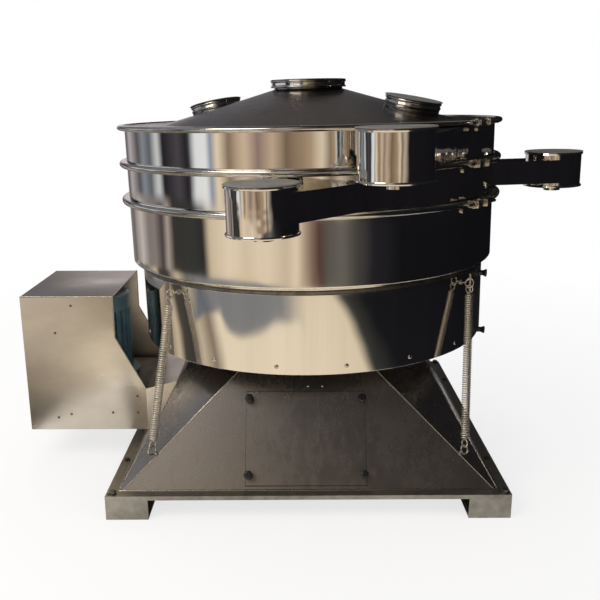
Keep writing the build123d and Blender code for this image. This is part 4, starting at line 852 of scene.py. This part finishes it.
# Shell studs: acorn nuts beside the closures that hold the earthing straps' studs.
stud_places = ((-45, 0.434), (-45, 0.548), (-45, 0.590), (-38, 0.660))
fasten("stud_nuts", dome_head(0.0068, 0.0085), [(drum_point(0.600, a, h), drum_across(a)) for a, h in stud_places],
       bright_bolt, "drum", 16, replaces=["shell_studs"])

# Discharge pots: spun tubs with a rolled bead at each end, a folded chute that meets the drum along
# a tangent and, in the floor, a short spout for the hose.
for name, (gap, azimuth, level, tall, turn, side, low) in pots.items():
    centre = pot_place(name, level)
    tall /= 1000
    seat = drum.copy()
    seat.translation = centre
    pot_mirror = mirror_steel(f"spun and polished {name.replace('_', ' ')}", centre, "#EBE7E0", "#E0DBD2", 0.07, 30.0)
    inner = pot_radius - pot_sheet
    tub_outline = [(0.025, -0.014), (0.027, -0.014), (0.027, 0), (0.088, 0), (0.0935, 0.0012), (0.0945, 0.004),
                   (0.0935, 0.0068), (0.090, 0.008), (0.090, tall - 0.008), (0.0935, tall - 0.0068),
                   (0.0945, tall - 0.004), (0.0935, tall - 0.0012), (0.090, tall), (inner, tall), (inner, 0.002),
                   (0.025, 0.002)]
    tub = lathe(name + "_tub", tub_outline, 128, seat)
    hand_over(name + "_tub", cut_away(tub, chute_bore(name)), pot_mirror, "drum",
              replaces=[name])
    made, low_side, high_side = chute_frame(name)
    box = block(made, (0, chute_reach), (low_side, high_side), (0, chute_height))
    box = cut_away(box, chute_bore(name))
    core = lathe("core", [(0, -0.05), (pot_radius - 0.0005, -0.05), (pot_radius - 0.0005, 0.3), (0, 0.3)], 128, seat)
    box = cut_away(box, core)
    shell_core = lathe("shell core", [(0, 0.3), (0.5995, 0.3), (0.5995, 0.8), (0, 0.8)], shell_steps, drum)
    box = cut_away(box, shell_core)
    hand_over(name + "_chute", box, pot_mirror, "drum", 20)

# Lids: pressed discs of thin film-covered sheet with a rolled edge. They lift straight off the pots
# and the two inspection necks; the film makes them paler and duller than the steel round them.
film_lid = steel("film covered stainless lid", "#A6A4A0", "#8A8783", 0.5, streak=16.0, bump=0.00005, metallic=0.7)
lid_frames = {}
for name, (gap, azimuth, level, tall, turn, side, low) in pots.items():
    seat = drum.copy()
    seat.translation = pot_place(name, level + tall + 0.3)
    lid_frames[name + "_lid"] = (seat, 0.095, 0.0877)
for name, turn in (("right_port_lid", -27.0), ("left_port_lid", 153.0)):
    share = (475 - 356) / (475 - 112)
    height = 685.5 + 102 * share - 4 * share * (1 - share)
    normal = drum_across(turn) * math.sin(math.radians(11.5)) + drum_up * math.cos(math.radians(11.5))
    side_way = drum_up.cross(drum_across(turn)).normalized()
    seat = Matrix((side_way, normal.cross(side_way), normal)).transposed().to_4x4()
    seat.translation = drum_point(0.356, turn, height / 1000) + normal * 0.0323
    lid_frames[name] = (seat, 0.0905, 0.0807)
for name, (seat, outside, bore) in lid_frames.items():
    if "port" in name:
        # The neck under a port lid is a polished sleeve with two rolled beads.
        sleeve = [(0.0841, -0.031), (0.0850, -0.031), (0.0850, -0.0225), (0.0868, -0.0205), (0.0876, -0.0180),
                  (0.0868, -0.0155), (0.0850, -0.0135), (0.0850, -0.0095), (0.0872, -0.0078), (0.0882, -0.0052),
                  (0.0872, -0.0026), (0.0850, -0.0010), (0.0841, -0.0010)]
        neck = name.replace("lid", "neck")
        neck_mirror = mirror_steel(neck.replace("_", " ") + " polish", seat.translation, "#DEDAD3", "#C4BFB7", 0.07, 14.0)
        hand_over(neck, lathe(neck, sleeve, 96, seat), neck_mirror, "drum", 50)
    outline = [(0, 0.0022), (outside * 0.82, 0.0022), (outside * 0.86, 0.0030), (outside - 0.002, 0.0030),
               (outside, 0.0016), (outside - 0.0008, 0.0), (bore, 0.0), (bore - 0.001, -0.009), (bore - 0.002, -0.009),
               (bore - 0.002, 0.0008), (0, 0.0008)]
    hand_over(name + "_disc", lathe(name + "_disc", outline, 96, seat), film_lid, name, 25,
              replaces=[name])

# Springs: wound from 4 mm hard drawn wire, each coil close to the next, with a loop bent out at both
# ends. They hang between the eyes on the drum and the eyes on the pedestal's corners.
spring_wire = steel("hard drawn spring wire", "#E9E4DA", "#C9C3B8", 0.42, streak=90.0)
coil_radius, wire, pitch = 0.0113, 0.0021, 0.0066
eye_radius, eye_wire, hook_radius = 0.013, 0.0032, 0.011
link_gap = eye_radius - eye_wire - 0.0022 - 0.0003
spring_ends = {}
for name, turn, (x_side, y_side) in (("rear_right_spring", 45, (1, 1)), ("rear_left_spring", 141, (-1, 1)),
                                     ("front_left_spring", 225, (-1, -1)), ("front_right_spring", 321, (1, -1))):
    low_eye = Vector((x_side * 0.466, y_side * 0.512, 0.181))
    high_eye = drum_point(0.600, turn, 0.210)
    pull = (high_eye - low_eye).normalized()
    facet = Vector((x_side, y_side, facet_lean)).normalized()
    spring_ends[name] = (low_eye, high_eye, pull, facet, drum_across(turn))


def tube(name, runs, radius, sides, material, body, replaces=(), resolution=4):
    """Round wire along smooth runs of points."""
    curve = bpy.data.curves.new(name, "CURVE")
    curve.dimensions = "3D"
    curve.bevel_depth = radius
    curve.bevel_resolution = max(1, sides // 4 - 1)
    curve.use_fill_caps = True
    for run in runs:
        spline = curve.splines.new("POLY")
        spline.points.add(len(run) - 1)
        for point, place in zip(spline.points, run):
            point.co = (*place, 1)
    made = link(name + " line", curve)
    bpy.context.view_layer.update()
    mesh = bpy.data.meshes.new_from_object(made.evaluated_get(bpy.context.evaluated_depsgraph_get()))
    mesh.name = name
    bpy.data.objects.remove(made)
    return hand_over(name, mesh, material, body, 60, replaces)


for name, (low_eye, high_eye, pull, facet, radial) in spring_ends.items():
    ways = []
    for eye, out, bolt in ((low_eye, pull, facet), (high_eye, -pull, radial)):
        across = (bolt - pull * bolt.dot(pull)).normalized()
        ways.append((eye + out * (link_gap + hook_radius), across))
    side = ways[0][1]
    other = pull.cross(side)
    start = ways[0][0] + pull * (hook_radius + 0.001)
    end = ways[1][0] - pull * (hook_radius + 0.001)
    length = (end - start).length
    turns = round(length / pitch)
    steps = 16
    coil = []
    for i in range(turns * steps + 1):
        a = 2 * math.pi * i / steps
        share = i / (turns * steps)
        grow = min(1.0, share * turns / 0.8, (1 - share) * turns / 0.8)
        coil.append(start + pull * (length * share)
                    + (side * math.cos(a) + other * math.sin(a)) * coil_radius * (0.35 + 0.65 * grow))
    loops = []
    for (centre, across), away in zip(ways, (-1, 1)):
        normal = pull.cross(across)
        loop = []
        for k in range(41):
            a = math.radians(-150 + 300 * k / 40)
            loop.append(centre + (pull * away * math.cos(a) + across * math.sin(a)) * hook_radius)
        loops.append(loop)
    run = list(reversed(loops[0])) + coil + loops[1]
    tube(name + "_wire", [run], wire, 10, spring_wire, name, [name])

# Eye screws: bent from 6 mm rod, one screwed through the skirt into its band and one into each
# corner of the pedestal, with a nut and a washer against the sheet.
for label, body, end in (("spring_eyes", "drum", 1), ("spring_anchors", "base", 0)):
    runs = []
    nuts = []
    for low_eye, high_eye, pull, facet, radial in spring_ends.values():
        eye = (low_eye, high_eye)[end]
        out = (facet, radial)[end]
        if end:
            foot = eye - out * 0.029
        else:
            corner = Vector((math.copysign(facet_foot / 2, eye.x), math.copysign(facet_foot / 2, eye.y), plate_top))
            foot = eye - out * (eye - corner).dot(out)
        cross_way = (pull - out * pull.dot(out)).normalized()
        ring = [eye + (-out * math.cos(math.radians(a)) + cross_way * math.sin(math.radians(a))) * eye_radius
                for a in range(8, 353, 8)]
        runs.append([foot + out * 0.0005, foot + out * ((eye - foot).length - eye_radius - 0.003)] + ring)
        nuts.append((foot, out))
    tube(label + "_rods", runs, eye_wire * 0.9, 12, bright_bolt, body, [label])
    fasten(label + "_nuts", hex_head(0.012, 0.005, 0.0015, 0.15), nuts, bright_bolt, body, 9 + end)

# Hatch knobs: moulded wing grips on studs that hold the hand hatch against the skirt.
wing_outline = eased([(0, 0), (0.010, 0), (0.0085, 0.006), (0.0085, 0.013), (0.0125, 0.020), (0.0128, 0.024),
                      (0.007, 0.0235), (0, 0.021)], 0.0015)
fasten("hatch_grips", lobed("wing", wing_outline, 4, 0.12), [(drum_point(0.574, -22, h), drum_across(-22))
                                                             for h in (0.016, 0.205)], phenolic, "drum",
       12, replaces=["wing_knobs"])
